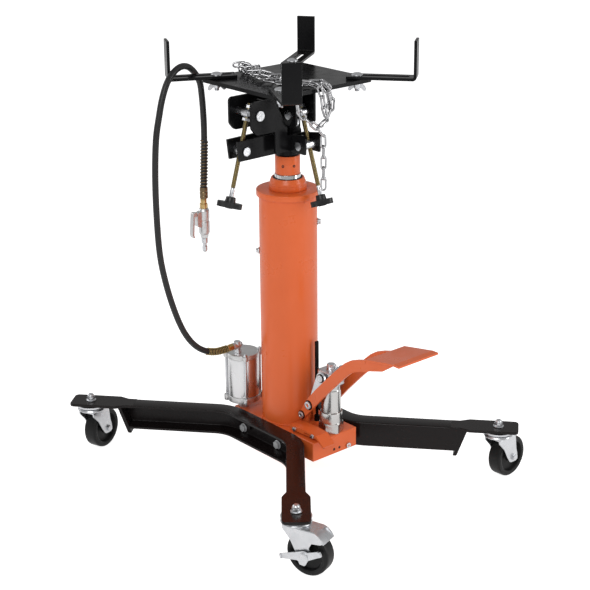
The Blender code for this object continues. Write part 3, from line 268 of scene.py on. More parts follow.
def rounded(outline, radii, steps=5):
    """Rounds the corners of a closed outline; radii is one number or one for each corner."""
    count = len(outline)
    if not hasattr(radii, "__len__"):
        radii = [radii] * count
    out = []
    for i, radius in enumerate(radii):
        here = Vector(outline[i])
        if not radius:
            out.append(here)
            continue
        to_last = (Vector(outline[i - 1]) - here).normalized()
        to_next = (Vector(outline[(i + 1) % count]) - here).normalized()
        half = to_last.angle(to_next) / 2
        centre = here + (to_last + to_next).normalized() * radius / sin(half)
        reach = radius * cos(half) / sin(half)
        first = here + to_last * reach - centre
        last = here + to_next * reach - centre
        sweep = first.angle_signed(last)
        for k in range(steps + 1):
            turn = -sweep * k / steps
            out.append(centre + Vector((
                first.x * cos(turn) - first.y * sin(turn),
                first.x * sin(turn) + first.y * cos(turn),
            )))
    return out


def lathe(outline, at=(0, 0, 0), direction=(0, 0, 1), sides=64, soft=0.0, steps=3):
    """A closed (radius, height) outline spun about a line through a place; soft rounds its corners."""
    if soft:
        outline = rounded(outline, [0 if r < 1e-6 else soft for r, _ in outline], steps)
    bm = bmesh.new()
    rings = []
    for s in range(sides):
        angle = tau * s / sides
        rings.append([bm.verts.new((r * cos(angle), r * sin(angle), z)) for r, z in outline])
    for s, ring in enumerate(rings):
        after = rings[(s + 1) % sides]
        for here in range(len(outline)):
            there = (here + 1) % len(outline)
            if outline[here][0] > 1e-6 or outline[there][0] > 1e-6:
                bm.faces.new((ring[here], after[here], after[there], ring[there]))
    bmesh.ops.remove_doubles(bm, verts=bm.verts, dist=1e-7)
    return transformed(bm, facing(at, direction))


def hoop(inner, outer, low, high, *place, **more):
    """A turned ring between two radii and two heights, or a disk where inner is 0."""
    return lathe([(inner, low), (outer, low), (outer, high), (inner, high)], *place, **more)


def pin(start, end, radius, sides=40, soft=0.0006):
    """A round bar from one point to another with softened ends."""
    start, end = Vector(start), Vector(end)
    return hoop(0, radius, 0, (end - start).length, start, end - start, sides, soft, 2)


def hexagon(start, end, radius, turn=0.0, soft=0.0006):
    """A hexagon head or nut from one point to another, with its corners chamfered."""
    start, end = Vector(start), Vector(end)
    length = (end - start).length
    bm = slab([(radius * cos(turn + k * pi / 3), radius * sin(turn + k * pi / 3)) for k in range(6)],
              "Z", 0, length)
    cone = lathe([(0, -0.001), (radius * 0.93, -0.001), (radius * 1.02, length * 0.16),
                  (radius * 1.02, length * 0.84), (radius * 0.93, length + 0.001),
                  (0, length + 0.001)], sides=36)
    bm = boolean(bm, cone, "INTERSECT")
    return transformed(bm, facing(start, end - start))


def slab(outline, axis, low, high):
    """A flat outline extruded along X, Y or Z; it is given in the other two axes, in order."""
    bm = bmesh.new()

    def corner(point, depth):
        values = list(point)
        values.insert("XYZ".index(axis), depth)
        return bm.verts.new(values)

    near = [corner(p, low) for p in outline]
    far = [corner(p, high) for p in outline]
    bm.faces.new(near)
    bm.faces.new(reversed(far))
    for i in range(len(outline)):
        j = (i + 1) % len(outline)
        bm.faces.new((near[j], near[i], far[i], far[j]))
    return bm


def smooth_line(points, per_span):
    """A Catmull-Rom curve through the points, with per_span steps between neighbours."""
    knots = [Vector(p) for p in points]
    knots = [2 * knots[0] - knots[1]] + knots + [2 * knots[-1] - knots[-2]]
    out = []
    for i in range(1, len(knots) - 2):
        a, b, c, d = knots[i - 1:i + 3]
        for step in range(per_span):
            t = step / per_span
            out.append(0.5 * (2 * b + (c - a) * t + (2 * a - 5 * b + 4 * c - d) * t ** 2
                              + (3 * b - a - 3 * c + d) * t ** 3))
    out.append(knots[-2])
    return out


def sweep(path, section, closed=False):
    """Carries a section's (across, up) points along a path without twisting it."""
    path = [Vector(p) for p in path]
    count = len(path)
    tangents = []
    for i in range(count):
        before = path[i - 1] if closed or i else path[0]
        after = path[(i + 1) % count] if closed or i < count - 1 else path[-1]
        tangents.append((after - before).normalized())
    across = tangents[0].orthogonal().normalized()
    bm = bmesh.new()
    rings = []
    for i, (here, along) in enumerate(zip(path, tangents)):
        if i:
            across = tangents[i - 1].rotation_difference(along) @ across
        up = along.cross(across)
        rings.append([bm.verts.new(here + across * a + up * b) for a, b in section])
    sides = len(section)
    for i in range(count if closed else count - 1):
        first, second = rings[i], rings[(i + 1) % count]
        for j in range(sides):
            k = (j + 1) % sides
            bm.faces.new((first[j], first[k], second[k], second[j]))
    if not closed:
        bm.faces.new(reversed(rings[0]))
        bm.faces.new(rings[-1])
    return bm


def circle(radius, sides=12):
    return [(radius * cos(tau * k / sides), radius * sin(tau * k / sides)) for k in range(sides)]


def coil(path, radius, wire, pitch):
    """A spring wound round a path, with a pitch between its turns."""
    path = [Vector(p) for p in path]
    along = (path[1] - path[0]).normalized()
    across = along.orthogonal().normalized()
    turns_done, points, per_turn, wire_sides = 0.0, [], 14, 7
    for here, there in zip(path, path[1:]):
        step = there - here
        now = step.normalized()
        across = (along.rotation_difference(now) @ across).normalized()
        along = now
        up = along.cross(across)
        count = max(1, round(step.length / pitch * per_turn))
        for k in range(count):
            t = k / count
            angle = tau * (turns_done + step.length * t / pitch)
            points.append(here + step * t + (across * cos(angle) + up * sin(angle)) * radius)
        turns_done += step.length / pitch
    return sweep(points, circle(wire, wire_sides))


# ---- base ----
def leg_line(side):
    """Stations along a leg's centre line: the point and the direction, with rounded bends."""
    bend_x, bend_y = LEG_BEND_AT
    bolt = Vector((CASTER_AT[0] - bend_x, CASTER_AT[1] - bend_y))
    lean = atan2(bolt.x, bolt.y)
    bend_r, steps = 0.08, 14
    reach = bend_r * (1 - cos(lean)) / sin(lean)
    stations = []
    for end in (1, -1):
        half = [(0.0, bend_y - reach, 0.0)]
        for k in range(1, steps + 1):
            a = lean * k / steps
            half.append((bend_r * (1 - cos(a)), bend_y - reach + bend_r * sin(a), a))
        far = bolt.length - LEG_ENDS_BEFORE_BOLT
        half.append((far * sin(lean), bend_y + far * cos(lean), lean))
        for out, along, angle in (half[::-1] if end == 1 else half):
            point = Vector((side * (bend_x + out), end * along))
            stations.append((point, Vector((-side * end * sin(angle), -cos(angle)))))
    return stations, lean


def leg(name, side):
    """The bent channel with its end plates and the bolts through its web."""
    stations, lean = leg_line(side)
    half, top, low = LEG_WIDTH / 2, LEG_TOP, LEG_TOP - LEG_HEIGHT
    section = [
        (-half, low), (half, low), (half, top), (-half, top),
        (-half, top - LEG_WALL), (half - LEG_WALL, top - LEG_WALL),
        (half - LEG_WALL, low + LEG_WALL), (-half, low + LEG_WALL),
    ]
    section = rounded(section, [0.001, 0.003, 0.003, 0.001, 0.001, 0.002, 0.002, 0.001], 3)
    slope = 0.34
    bm = bmesh.new()
    rings = []
    for i, (point, tangent) in enumerate(stations):
        across = Vector((tangent.y, -tangent.x))
        if across.x * side > 0:
            across = -across
        lead = {0: -1, len(stations) - 1: 1}.get(i, 0)
        ring = []
        for u, z in section:
            at = point + across * u + tangent * (lead * ((z - low) - LEG_HEIGHT / 2) * slope)
            ring.append(bm.verts.new((at.x, at.y, z)))
        rings.append(ring)
    for first, second in zip(rings, rings[1:]):
        for i in range(len(section)):
            j = (i + 1) % len(section)
            bm.faces.new((first[i], first[j], second[j], second[i]))
    bm.faces.new(rings[0])
    bm.faces.new(reversed(rings[-1]))
    piece(name + "_channel", bm, "chassis", LEG_BLACK, name)
    for end, where in ((1, "back"), (-1, "front")):
        wide, narrow = 0.028, half - 0.0002
        outline = [(-narrow, -0.1), (narrow, -0.1), (narrow, -0.081), (wide, -0.061),
                   (wide, 0.042), (-wide, 0.042), (-wide, -0.061), (-narrow, -0.081)]
        outline = rounded(outline, [0, 0, 0.008, 0.006, 0.01, 0.01, 0.006, 0.008])
        plate = slab(outline, "Z", END_PLATE_LOW, END_PLATE_TOP)
        hole = hoop(0, 0.0062, 0.1, 0.13, sides=32)
        plate = boolean(plate, hole)
        angle = -lean * side if end == 1 else pi + lean * side
        move = Matrix.Translation((side * CASTER_AT[0], end * CASTER_AT[1], 0))
        turn = move @ Matrix.Rotation(angle, 4, "Z")
        piece(f"{name}_{where}_plate", transformed(plate, turn), "chassis", LEG_BLACK,
              bevel=0.001)
        slanted = [(-0.0712, 0.115), (-0.0637, 0.115), (-0.085, 0.056), (-0.087, 0.0545),
                   (-0.0925, 0.0545), (-0.0935, 0.056)]
        gusset = slab(slanted, "X", -0.0185, 0.0185)
        bead = sweep([(x, -0.063, 0.1138 + 0.0004 * sin(k * 2.3)) for k, x in
                      enumerate([-0.018 + 0.0012 * k for k in range(31)])], circle(0.0017, 8))
        piece(f"{name}_{where}_gusset", transformed(joined(gusset, bead), turn), "chassis", LEG_BLACK,
              bevel=0.0008)
    face = side * (LEG_BEND_AT[0] - half + LEG_WALL)
    for number, (y, z, r) in enumerate(((0.077, 0.079, 0.0085), (0.055, 0.09, 0.0065),
                                        (-0.036, 0.079, 0.0085), (-0.06, 0.0955, 0.003))):
        start, end = Vector((face, y, z)), Vector((face + side * 0.0055, y, z))
        washer = pin(start, start + Vector((side * 0.0012, 0, 0)), r * 1.18, 32, 0.0003)
        head = hexagon(start + Vector((side * 0.001, 0, 0)), end, r)
        tone = LEG_BLACK if number == 1 else BOLT_ZINC
        piece(f"{name}_bolt_{number}", joined(washer, head), "chassis", tone)


def base_details():
    """The block's own shape stays; matte near-black disks set inside its holes are painted shade, and screws
    and a weld stand on it.
    """
    front = -0.143
    for number, (x, z, r) in enumerate(((-0.002, 0.0855, 0.003), (0.013, 0.0855, 0.003),
                                        (-0.031, 0.0975, 0.0016))):
        # Painted shade: a matte near-black disk a little inside each hole darkens it.
        hole = pin((x, front + 0.008, z), (x, front + 0.001, z), r, 24, 0.0002)
        piece(f"block_hole_shade_{number}", hole, "chassis", BLACK_AND_SHADE)
    cap = lathe([(0, 0), (0.0058, 0), (0.0058, 0.0036), (0.002, 0.0036), (0.002, 0.002), (0, 0.002)],
                (0.037, front - 0.0002, 0.0835), (0, -1, 0), 40, 0.0004)
    piece("block_screw", cap, "chassis", BRIGHT_ZINC)
    y, z = RELEASE_PIVOT
    heads = joined(pin((RELEASE_LEFT - 0.0002, y, z), (RELEASE_LEFT - 0.0044, y, z), 0.0052, 32),
                   pin((RELEASE_RIGHT + 0.0002, y, z), (RELEASE_RIGHT + 0.0026, y, z), 0.0044, 32))
    piece("release_pivot_heads", heads, "chassis", BRIGHT_ZINC)
    y, z = -0.132, 0.1276
    screw = joined(pin((RELEASE_LEFT - 0.0001, y, z), (RELEASE_LEFT - 0.0012, y, z), 0.005, 32, 0.0003),
                   hexagon((RELEASE_LEFT - 0.001, y, z), (RELEASE_LEFT - 0.004, y, z), 0.004))
    piece("release_screw", screw, "release_foot", BRIGHT_ZINC)
    weld = sweep([((TUBE_R + 0.0008) * cos(tau * k / 96), (TUBE_R + 0.0008) * sin(tau * k / 96),
                   BLOCK_TOP + 0.0016 + 0.0003 * sin(k * 2.2)) for k in range(96)], circle(0.0016, 8), True)
    piece("column_weld", weld, "chassis", ORANGE)


def column():
    """The tube with its ring, gland and plugs, and the two ram stages that show above it."""
    shell = hoop(TUBE_R - TUBE_WALL, TUBE_R, BLOCK_TOP + GAP, TUBE_TOP, sides=144)
    piece("reservoir_shell", shell, "chassis", ORANGE, "reservoir_tube")
    cap = hoop(0.0278, RING_R, TUBE_TOP + GAP, RING_TOP, sides=144, soft=0.0012)
    piece("reservoir_ring", cap, "chassis", ORANGE, "reservoir_cap")
    piece("gland_body", lathe([
        (0.0274, RING_TOP + GAP), (0.0387, RING_TOP + GAP), (0.0387, 0.6338), (0.0371, 0.634),
        (0.0371, 0.6385), (0.0337, GLAND_TOP), (0.0274, GLAND_TOP),
    ], sides=96, soft=0.0005), "chassis", ORANGE, "gland_nut")
    piece("wiper_seal", lathe([
        (0.0272, GLAND_TOP - 0.001), (0.0308, GLAND_TOP - 0.001), (0.03, GLAND_TOP + 0.001),
        (0.0272, GLAND_TOP + 0.0006),
    ], sides=96), "chassis", BLACK_AND_SHADE)
    for number, (turn, z) in enumerate(((-43, 0.552), (138, 0.489))):
        out = Vector((cos(radians(turn)), sin(radians(turn)), 0))
        at = Vector((0, 0, z)) + out * (TUBE_R + 0.0002)
        plug = joined(pin(at, at + out * 0.0022, 0.0072, 32, 0.0004),
                      hexagon(at + out * 0.002, at + out * 0.0068, 0.0054))
        piece(f"oil_plug_{number}", plug, "chassis", ZINC, "filler_plug" if number == 0 else ())
    piece("first_stage_tube", lathe([
        (0.0226, 0.64), (0.0226, 0.655), (0.027, 0.655), (0.027, 0.152), (0.0329, 0.15),
        (0.0329, 0.13), (0.025, 0.13), (0.025, 0.638),
    ], sides=96, soft=0.0004), "first_stage", CHROME, "ram_stage_one")
    sleeve = hoop(0.0226, SLEEVE_R, SLEEVE_LOW, SLEEVE_TOP, sides=96, soft=0.0007)
    piece("second_stage_sleeve", sleeve, "second_stage", ORANGE, "ram_sleeve")
    for number, turn in enumerate((-152, -100)):
        out = Vector((cos(radians(turn)), sin(radians(turn)), 0))
        at = Vector((0, 0, 0.6745)) + out * (SLEEVE_R - 0.0022)
        socket = hoop(0.0011, 0.0028, 0, 0.0026, at, out, 24, 0.0002)
        piece(f"sleeve_screw_{number}", socket, "second_stage", BLACK_AND_SHADE)


# ---- casters ----
def caster(name, side_x, side_y, trail):
    bolt = Vector((side_x * CASTER_AT[0], side_y * CASTER_AT[1], 0))
    turn = Matrix.Translation(bolt) @ Matrix.Rotation(radians(trail), 4, "Z")
    swivel, roll = f"caster_{name}", f"wheel_{name}"
    under, crown = END_PLATE_LOW - GAP, 0.0955
    half = WHEEL_WIDTH / 2 + 0.0025
    edge, low = half + 0.003, 0.03
    channel = rounded([(-edge, low), (-edge, crown + 0.0045), (edge, crown + 0.0045), (edge, low),
                       (half, low), (half, crown), (-half, crown), (-half, low)],
                      [0, 0.005, 0.005, 0, 0, 0.0022, 0.0022, 0], 4)
    rear = [(0.039, 0.063), (0.034, crown + 0.006)]
    if name == "front":
        rear = [(0.039, 0.063), (0.045, 0.074), (0.064, 0.0765), (0.0704, 0.0803), (0.0655, 0.0875),
                (0.0585, 0.0935), (0.05, 0.098), (0.04, 0.0995), (0.034, crown + 0.006)]
    side = [(-0.0195, crown + 0.006), (-0.0195, 0.09), (-0.002, 0.071), (0.009, 0.05),
            (0.0195, 0.035), (0.0425, 0.033), (0.043, 0.05), *rear]
    side = rounded(side, [0, 0.008, 0.02, 0.02, 0.01, 0.01, 0.008] + [0.0025] * (len(rear) - 1) + [0])
    fork = boolean(slab(channel, "X", -0.03, 0.07), slab(side, "Y", -0.03, 0.03), "INTERSECT")
    piece(f"fork_{name}", transformed(fork, turn), swivel, BRIGHT_ZINC,
          f"caster_fork_{name}", bevel=0.0005)
    if name == "front":
        arc = [(CASTER_TRAIL + r * cos(radians(a)), WHEEL_R + r * sin(radians(a)))
               for r, angles in ((0.053, range(40, 92, 3)), (0.0506, range(91, 39, -3))) for a in angles]
        shoe = slab(arc, "Y", -half - 0.0029, half + 0.0029)
        piece("brake_shoe", transformed(shoe, turn), swivel, BRIGHT_ZINC, bevel=0.0006)
    race = joined(
        lathe([(0, crown + 0.0047), (0.029, crown + 0.0047), (0.0308, crown + 0.007),
               (0.0285, crown + 0.0105), (0.024, crown + 0.0112), (0, crown + 0.0112)], sides=64, soft=0.0006),
        lathe([(0, crown + 0.0114), (0.022, crown + 0.0114), (0.0306, crown + 0.0135),
               (0.0306, under - 0.0008), (0.024, under), (0, under)], sides=64, soft=0.0006),
    )
    piece(f"swivel_race_{name}", transformed(race, turn), swivel, BRIGHT_ZINC)
    top = END_PLATE_TOP + GAP
    nut = joined(
        pin((0, 0, top), (0, 0, top + 0.0016), 0.0112, 48, 0.0004),
        hexagon((0, 0, top + 0.0016), (0, 0, top + 0.0086), 0.0092, 0.3),
        lathe([(0, top + 0.008), (0.0076, top + 0.008), (0.0073, top + 0.0118), (0.0048, top + 0.0146),
               (0, top + 0.0152)], sides=40, soft=0.0012),
        pin((0, 0, under - 0.002), (0, 0, top + 0.009), 0.0058, 24),
    )
    piece(f"swivel_nut_{name}", transformed(nut, turn), swivel, BRIGHT_ZINC)

    def on_axle(across):
        return (CASTER_TRAIL, across, WHEEL_R)

    axle = joined(pin(on_axle(-edge - 0.0052), on_axle(edge + 0.0052), 0.0039, 24),
                  hexagon(on_axle(edge + 0.0002), on_axle(edge + 0.0046), 0.0074, 0.2))
    if name != "front":
        axle = joined(axle, hexagon(on_axle(-edge - 0.0002), on_axle(-edge - 0.0046), 0.0074, 0.5))
    piece(f"axle_{name}", transformed(axle, turn), swivel, BRIGHT_ZINC)
    wheel(name, turn, roll)
    if name == "front":
        brake(turn)


def wheel(name, turn, body):
    """A solid wheel: rounded tread, a dished web, and a hub with a metal bush."""
    lay = turn @ Matrix.Translation((CASTER_TRAIL, 0, WHEEL_R)) @ Matrix.Rotation(pi / 2, 4, "X")
    w, r = WHEEL_WIDTH / 2, WHEEL_R
    outline = [(0.006, -w - 0.0012), (0.012, -w - 0.0012), (0.0128, -0.0072), (0.0312, -0.0066),
               (0.0332, -w + 0.0006), (0.0362, -w), (r - 0.0034, -w), (r - 0.0006, -w + 0.0026),
               (r, -w + 0.006)]
    outline = outline + [(q, -z) for q, z in reversed(outline)]
    tyre = lathe(outline, sides=96, soft=0.0007, steps=2)
    piece(f"tyre_{name}", transformed(tyre, lay), body, TYRE, f"caster_wheel_{name}")
    line_r = 0.0372
    # Painted shade: a thin matte near-black ring on each face of the tyre stands in for the shade of a groove;
    # no groove is cut.
    groove_shade = [hoop(line_r, line_r + 0.0009, s * (w + 0.00015), s * (w - 0.0006), sides=96) for s in (-1, 1)]
    piece(f"tyre_line_shade_{name}", transformed(joined(*groove_shade), lay), body, BLACK_AND_SHADE)
    bush = hoop(0.0042, 0.0062, -w - 0.0016, w + 0.0016, sides=32, soft=0.0003)
    piece(f"wheel_bush_{name}", transformed(bush, lay), body, ZINC)


def brake(turn):
    """The front caster's foot brake: a pressed lever with two turned-up ends on the axle."""
    y = -(WHEEL_WIDTH / 2 + 0.0025 + 0.0066)
    wings = rounded([(-0.0209, 0.0281), (0.019, 0.035), (0.022, 0.027), (0.034, 0.0262),
                     (0.041, 0.04), (0.0713, 0.057), (0.0667, 0.067), (0.0385, 0.056),
                     (0.031, 0.0575), (0.0215, 0.054), (-0.0231, 0.0379)],
                    [0.0045, 0.004, 0.004, 0.005, 0.004, 0.005, 0.005, 0.004, 0.003, 0.004, 0.0045], 4)
    lever = slab(wings, "Y", y - 0.0022, y)
    lips = [slab([(-0.02, 0.0284), (-0.0165, 0.0291), (-0.0185, 0.0388), (-0.022, 0.0381)],
                 "Y", y - 0.0044, y),
            slab([(0.0655, 0.054), (0.0705, 0.0569), (0.0664, 0.066), (0.0612, 0.064)],
                 "Y", y - 0.0044, y)]
    boss = lathe([(0, 0), (0.0096, 0), (0.0096, 0.0036), (0.006, 0.0046), (0, 0.0046)],
                 (CASTER_TRAIL, y, WHEEL_R), (0, -1, 0), 32, 0.0006)
    piece("brake_lever", transformed(joined(lever, *lips, boss), turn), "caster_brake", BRIGHT_ZINC,
          "caster_brake_lever", bevel=0.0004)


# ---- saddle ----
def saddle_arm(name, bolt, degrees, reach):
    half, low = ARM_WIDTH / 2, PLATE_TOP + GAP
    inner = -(ARM_LENGTH - reach)
    side = [(inner, low), (reach, low), (reach, low + ARM_RISE), (reach - ARM_THICK, low + ARM_RISE),
            (reach - ARM_THICK, low + ARM_THICK), (inner, low + ARM_THICK)]
    side = rounded(side, [0, 0.008, 0, 0, 0.003, 0], 8)
    turn = Matrix.Translation((*bolt, 0)) @ Matrix.Rotation(radians(degrees), 4, "Z")
    slot_half = 0.0053
    first, last = inner + 0.008, reach - 0.016
    slot = rounded([(first, -slot_half), (last, -slot_half), (last, slot_half), (first, slot_half)],
                   slot_half - 0.0001, 6)
    bm = boolean(slab(side, "Y", -half, half), slab(slot, "Z", low - 0.004, low + ARM_THICK + 0.004))
    piece(f"arm_{name}", transformed(bm, turn), f"arm_{name}", BLACK,
          f"saddle_arm_{name}", bevel=0.0009)
    head_low = low + ARM_THICK + GAP
    dome = [(0, 0), (0.0118, 0), (0.0116, 0.001), (0.0098, 0.0029), (0.0066, 0.0042), (0.003, 0.0048),
            (0, 0.0049)]
    head = lathe([(r, head_low + z) for r, z in dome], sides=48)
    shank = [pin((0, 0, 0.824), (0, 0, head_low + 0.001), 0.0044, 24)]
    shank.append(threads((0, 0, 0.8245), (0, 0, 0.8415), 0.0049, 0.00125, 24))
    shank.append(hoop(0.005, 0.0112, 0.8404, 0.8416, sides=40))
    nut = lathe([(0.0045, 0.8296), (0.0066, 0.8296), (0.0082, 0.8402), (0.0045, 0.8402)],
                sides=40, soft=0.0006)
    wings = []
    for way in (-1, 1):
        wing = rounded([(way * 0.005, 0.84), (way * 0.01, 0.84), (way * 0.0165, 0.8335),
                        (way * 0.019, 0.8262), (way * 0.0138, 0.8245), (way * 0.005, 0.833)],
                       [0, 0.003, 0.004, 0.0022, 0.0022, 0], 4)
        wings.append(slab(wing, "Y", -0.0012, 0.0012))
    body = f"arm_bolt_{name}"
    piece(f"carriage_bolt_{name}", transformed(joined(head, *shank), turn), body, BRIGHT_ZINC, body)
    piece(f"wing_nut_{name}", transformed(joined(nut, *wings), turn), body, ZINC, bevel=0.0005)


def threads(start, end, radius, pitch, sides=28):
    """A threaded length, as ridges a pitch apart."""
    start, end = Vector(start), Vector(end)
    length = (end - start).length
    count = int(length / pitch)
    core = radius - pitch * 0.42
    outline = [(core - 0.001, 0)]
    for k in range(count):
        outline += [(core, k * pitch), (radius, (k + 0.42) * pitch), (radius, (k + 0.58) * pitch)]
    outline += [(core, count * pitch), (core - 0.001, count * pitch)]
    return lathe(outline, start, end - start, sides)


def tilt_screw(name, top, low, axis):
    down = (low - top).normalized()
    unit = Vector((0, 1, 0)) if axis == "Y" else Vector((1, 0, 0))
    knob_at = top + down * SCREW_LENGTH
    body = f"{name}_screw"
    rod = joined(
        threads(top - down * 0.0195, top - down * 0.016, ROD_R, 0.0015),
        pin(top - down * 0.016, top + down * 0.016, ROD_R - 0.0002, 32),
        threads(top + down * 0.016, knob_at - down * 0.03, ROD_R, 0.0015),
    )
    plain = pin(knob_at - down * 0.0305, knob_at - down * 0.0085, ROD_R - 0.0001, 32)
    piece(f"rod_end_{name}", plain, body, BRIGHT_ZINC)
    piece(f"threaded_rod_{name}", rod, body, YELLOW_ZINC, f"tilt_screw_{name}", sharp=20)
    collars = joined(
        hexagon(top - down * 0.0103, top - down * 0.0155, 0.0085, 0.2),
        hexagon(top + down * 0.0103, top + down * 0.0155, 0.0085, 0.6),
    )
    piece(f"screw_collars_{name}", collars, body, BRIGHT_ZINC)
    side = down.cross(unit).normalized()
    if name == "left":
        lean, tip = side * 0.76 - unit * 0.65, 0.0253
    else:
        lean, tip = unit * 0.93 + side * 0.37, 0.0236
    lean.normalize()
    basis = Matrix((lean, down.cross(lean).normalized(), down)).transposed().to_4x4()
    place = Matrix.Translation(knob_at) @ basis
    outline = []
    for k in range(56):
        a = tau * k / 56
        wide = 0.0108 + (tip - 0.0108) * abs(cos(a)) ** 3
        outline.append((wide * cos(a), wide * sin(a) * (1.0 if abs(cos(a)) < 0.6 else 0.96)))
    wing = slab(outline, "Z", -0.0015, 0.0095)
    bmesh.ops.bevel(wing, geom=[e for e in wing.edges if e.calc_face_angle(0) > 1.2], offset=0.0028,
                    segments=4, affect="EDGES", profile=0.6)
    neck = [(0.0048, -0.012), (0.0096, -0.012), (0.0112, 0.001), (0.0048, 0.001)]
    button = [(0, 0.009), (0.0085, 0.009), (0.0078, 0.0108), (0, 0.011)]
    grip = joined(wing, lathe(neck, soft=0.0012, sides=48), lathe(button, soft=0.0006, sides=48))
    piece(f"wing_knob_{name}", transformed(grip, place), body, PLASTIC,
          f"tilt_knob_{name}", sharp=50)


# ---- chain ----
def link(at, along, roll, length=0.0295, width=0.0134, wire=0.0021):
    """One oval link, centred on a place and lying along a direction."""
    straight, r = (length - width) / 2, width / 2 - wire
    path = []
    for k in range(9):
        a = -pi / 2 + pi * k / 8
        path.append(Vector((straight + r * cos(a), r * sin(a), 0)))
    for k in range(9):
        a = pi / 2 + pi * k / 8
        path.append(Vector((-straight + r * cos(a), r * sin(a), 0)))
    bm = sweep(path, circle(wire, 8), True)
    turn = Vector((1, 0, 0)).rotation_difference(along).to_matrix().to_4x4()
    return transformed(bm, Matrix.Translation(at) @ turn @ Matrix.Rotation(roll, 4, "X"))


def run_of_chain(path, roll_first=0.4, roll_step=pi / 2, pitch=0.0214):
    """Links along a path, each a pitch on from the last and turned on its side."""
    line = smooth_line(path, 12)
    links, left, roll = [], 0.0, roll_first
    for here, there in zip(line, line[1:]):
        step = (there - here).length
        while left <= step:
            at = here.lerp(there, left / step)
            links.append(link(at, (there - here).normalized(), roll))
            roll += roll_step
            left += pitch
        left -= step
    return links


def chain():
    """Two runs heaped over each other along the plate, which hang off its front edge."""
    z = PLATE_TOP + 0.0075
    line = [(-0.03, 0.104), (-0.039, 0.08), (-0.047, 0.05), (-0.054, 0.02), (-0.06, -0.012),
            (-0.062, -0.045), (-0.06, -0.075), (-0.066, -0.1)]
    heap, over = [], []
    for k in range(15):
        first, second = Vector(line[k // 2]), Vector(line[min((k + 1) // 2, len(line) - 1)])
        at = (first + second) / 2
        weave = 0.0085 * (-1) ** k
        heap.append((at.x + weave, at.y, z + 0.002 * (k % 2)))
        over.append((at.x - weave * 0.8 + 0.003, at.y + 0.004, z + 0.0085 + 0.002 * (k % 3)))
    heap += [(-0.072, -0.115, z), (-0.076, -0.124, z - 0.006), (-0.08, -0.128, z - 0.016),
             (-0.084, -0.1285, 0.828), (-0.076, -0.1285, 0.812), (-0.061, -0.1285, 0.797),
             (-0.035, -0.1285, 0.777), (-0.02, -0.1285, 0.758), (-0.0175, -0.1285, 0.73),
             (-0.0175, -0.1285, 0.656)]
    over += [(-0.04, -0.106, z + 0.006), (-0.02, -0.113, z + 0.004), (-0.006, -0.121, z),
             (0.001, -0.127, 0.842), (0.004, -0.1285, 0.816), (-0.009, -0.13, 0.792),
             (-0.03, -0.133, 0.78)]
    third = [(-0.052, -0.08, z + 0.004), (-0.036, -0.098, z + 0.002), (-0.02, -0.112, z),
             (-0.011, -0.124, z - 0.004), (-0.006, -0.1275, 0.84), (-0.002, -0.128, 0.82),
             (-0.008, -0.1275, 0.798), (-0.015, -0.1275, 0.81), (-0.02, -0.1275, 0.835),
             (-0.026, -0.124, z - 0.004), (-0.034, -0.106, z + 0.004)]
    links = run_of_chain(heap) + run_of_chain(over, 0.9) + run_of_chain(third, 0.2)
    piece("load_chain_links", joined(*links), "saddle", CHAIN_ZINC, "load_chain", sharp=60)


# ---- pump, pedal, air motor and hose ----
def pump():
    x, y = PUMP_AT
    low = BLOCK_TOP + GAP
    barrel = hoop(0.0208, PUMP_R, 0.138, PUMP_TOP, (x, y, 0), sides=96, soft=0.0008)
    core = pin((x, y, 0.136), (x, y, 0.2), 0.011, 48)
    foot = hexagon((x, y, low), (x, y, 0.139), 0.0262, radians(22))
    piece("pump_barrel", joined(barrel, core, foot), "chassis", PUMP_STEEL, "pump_cylinder")
    sleeve = lathe([
        (0.0114, 0.152), (0.0202, 0.152), (0.0204, 0.154), (0.0204, 0.212), (0.0196, 0.214),
        (0.0196, 0.219), (0.0204, 0.221), (0.0204, 0.226), (0.0114, 0.226),
    ], (x, y, 0), sides=96, soft=0.0004)
    head = slab(rounded([(x - 0.0215, y - 0.023), (x + 0.0215, y - 0.023), (x + 0.0215, y + 0.023),
                         (x - 0.0215, y + 0.023)], 0.009, 8), "Z", 0.2254, 0.255)
    top_y, top_z = LINK_TOP
    head = boolean(head, pin((x - 0.03, top_y, top_z), (x + 0.03, top_y, top_z), 0.0071, 40))
    tops = joined(hexagon((x, y, 0.255), (x, y, 0.268), 0.009, 0.3),
                  pin((x, y, 0.2548), (x, y, 0.2562), 0.0112, 40, 0.0004),
                  hexagon((x + 0.0155, y + 0.006, 0.2548), (x + 0.0155, y + 0.006, 0.26), 0.004))
    piece("plunger_head", head, "plunger", ZINC, "pump_plunger", bevel=0.0012)
    piece("plunger_sleeve", sleeve, "plunger", PUMP_STEEL)
    piece("plunger_screws", tops, "plunger", BRIGHT_ZINC)


def pivot_head(name, x, way, at, radius, depth, body):
    """A bright pin's head on a black washer."""
    start = Vector((x, *at))
    out = Vector((way, 0, 0))
    washer = pin(start, start + out * 0.0012, radius * 1.25, 40, 0.0003)
    piece(f"{name}_washer", washer, body, BLACK)
    head = lathe([(0, 0), (radius, 0), (radius, depth), (radius * 0.45, depth),
                  (radius * 0.38, depth - 0.0008), (0, depth - 0.0008)], start, out, 48, 0.0005)
    piece(f"{name}_head", head, body, BRIGHT_ZINC)


def pedal():
    for side, x, way in (("near", PEDAL_NEAR - 0.0031, -1), ("far", PEDAL_FAR + 0.0031, 1)):
        pivot_head(f"pedal_pin_{side}", x, way, PEDAL_PIN, 0.0086, 0.0044, "pedal")
        pivot_head(f"pedal_pivot_{side}", x + way * 0.0003, way, PEDAL_PIVOT, 0.0076, 0.004, "chassis")
    pivot_head("link_pin_near", LINK_NEAR - 0.0001, -1, LINK_TOP, 0.0076, 0.003, "link")
    pivot_head("link_pin_far", LINK_FAR + 0.0001, 1, LINK_TOP, 0.0076, 0.003, "link")


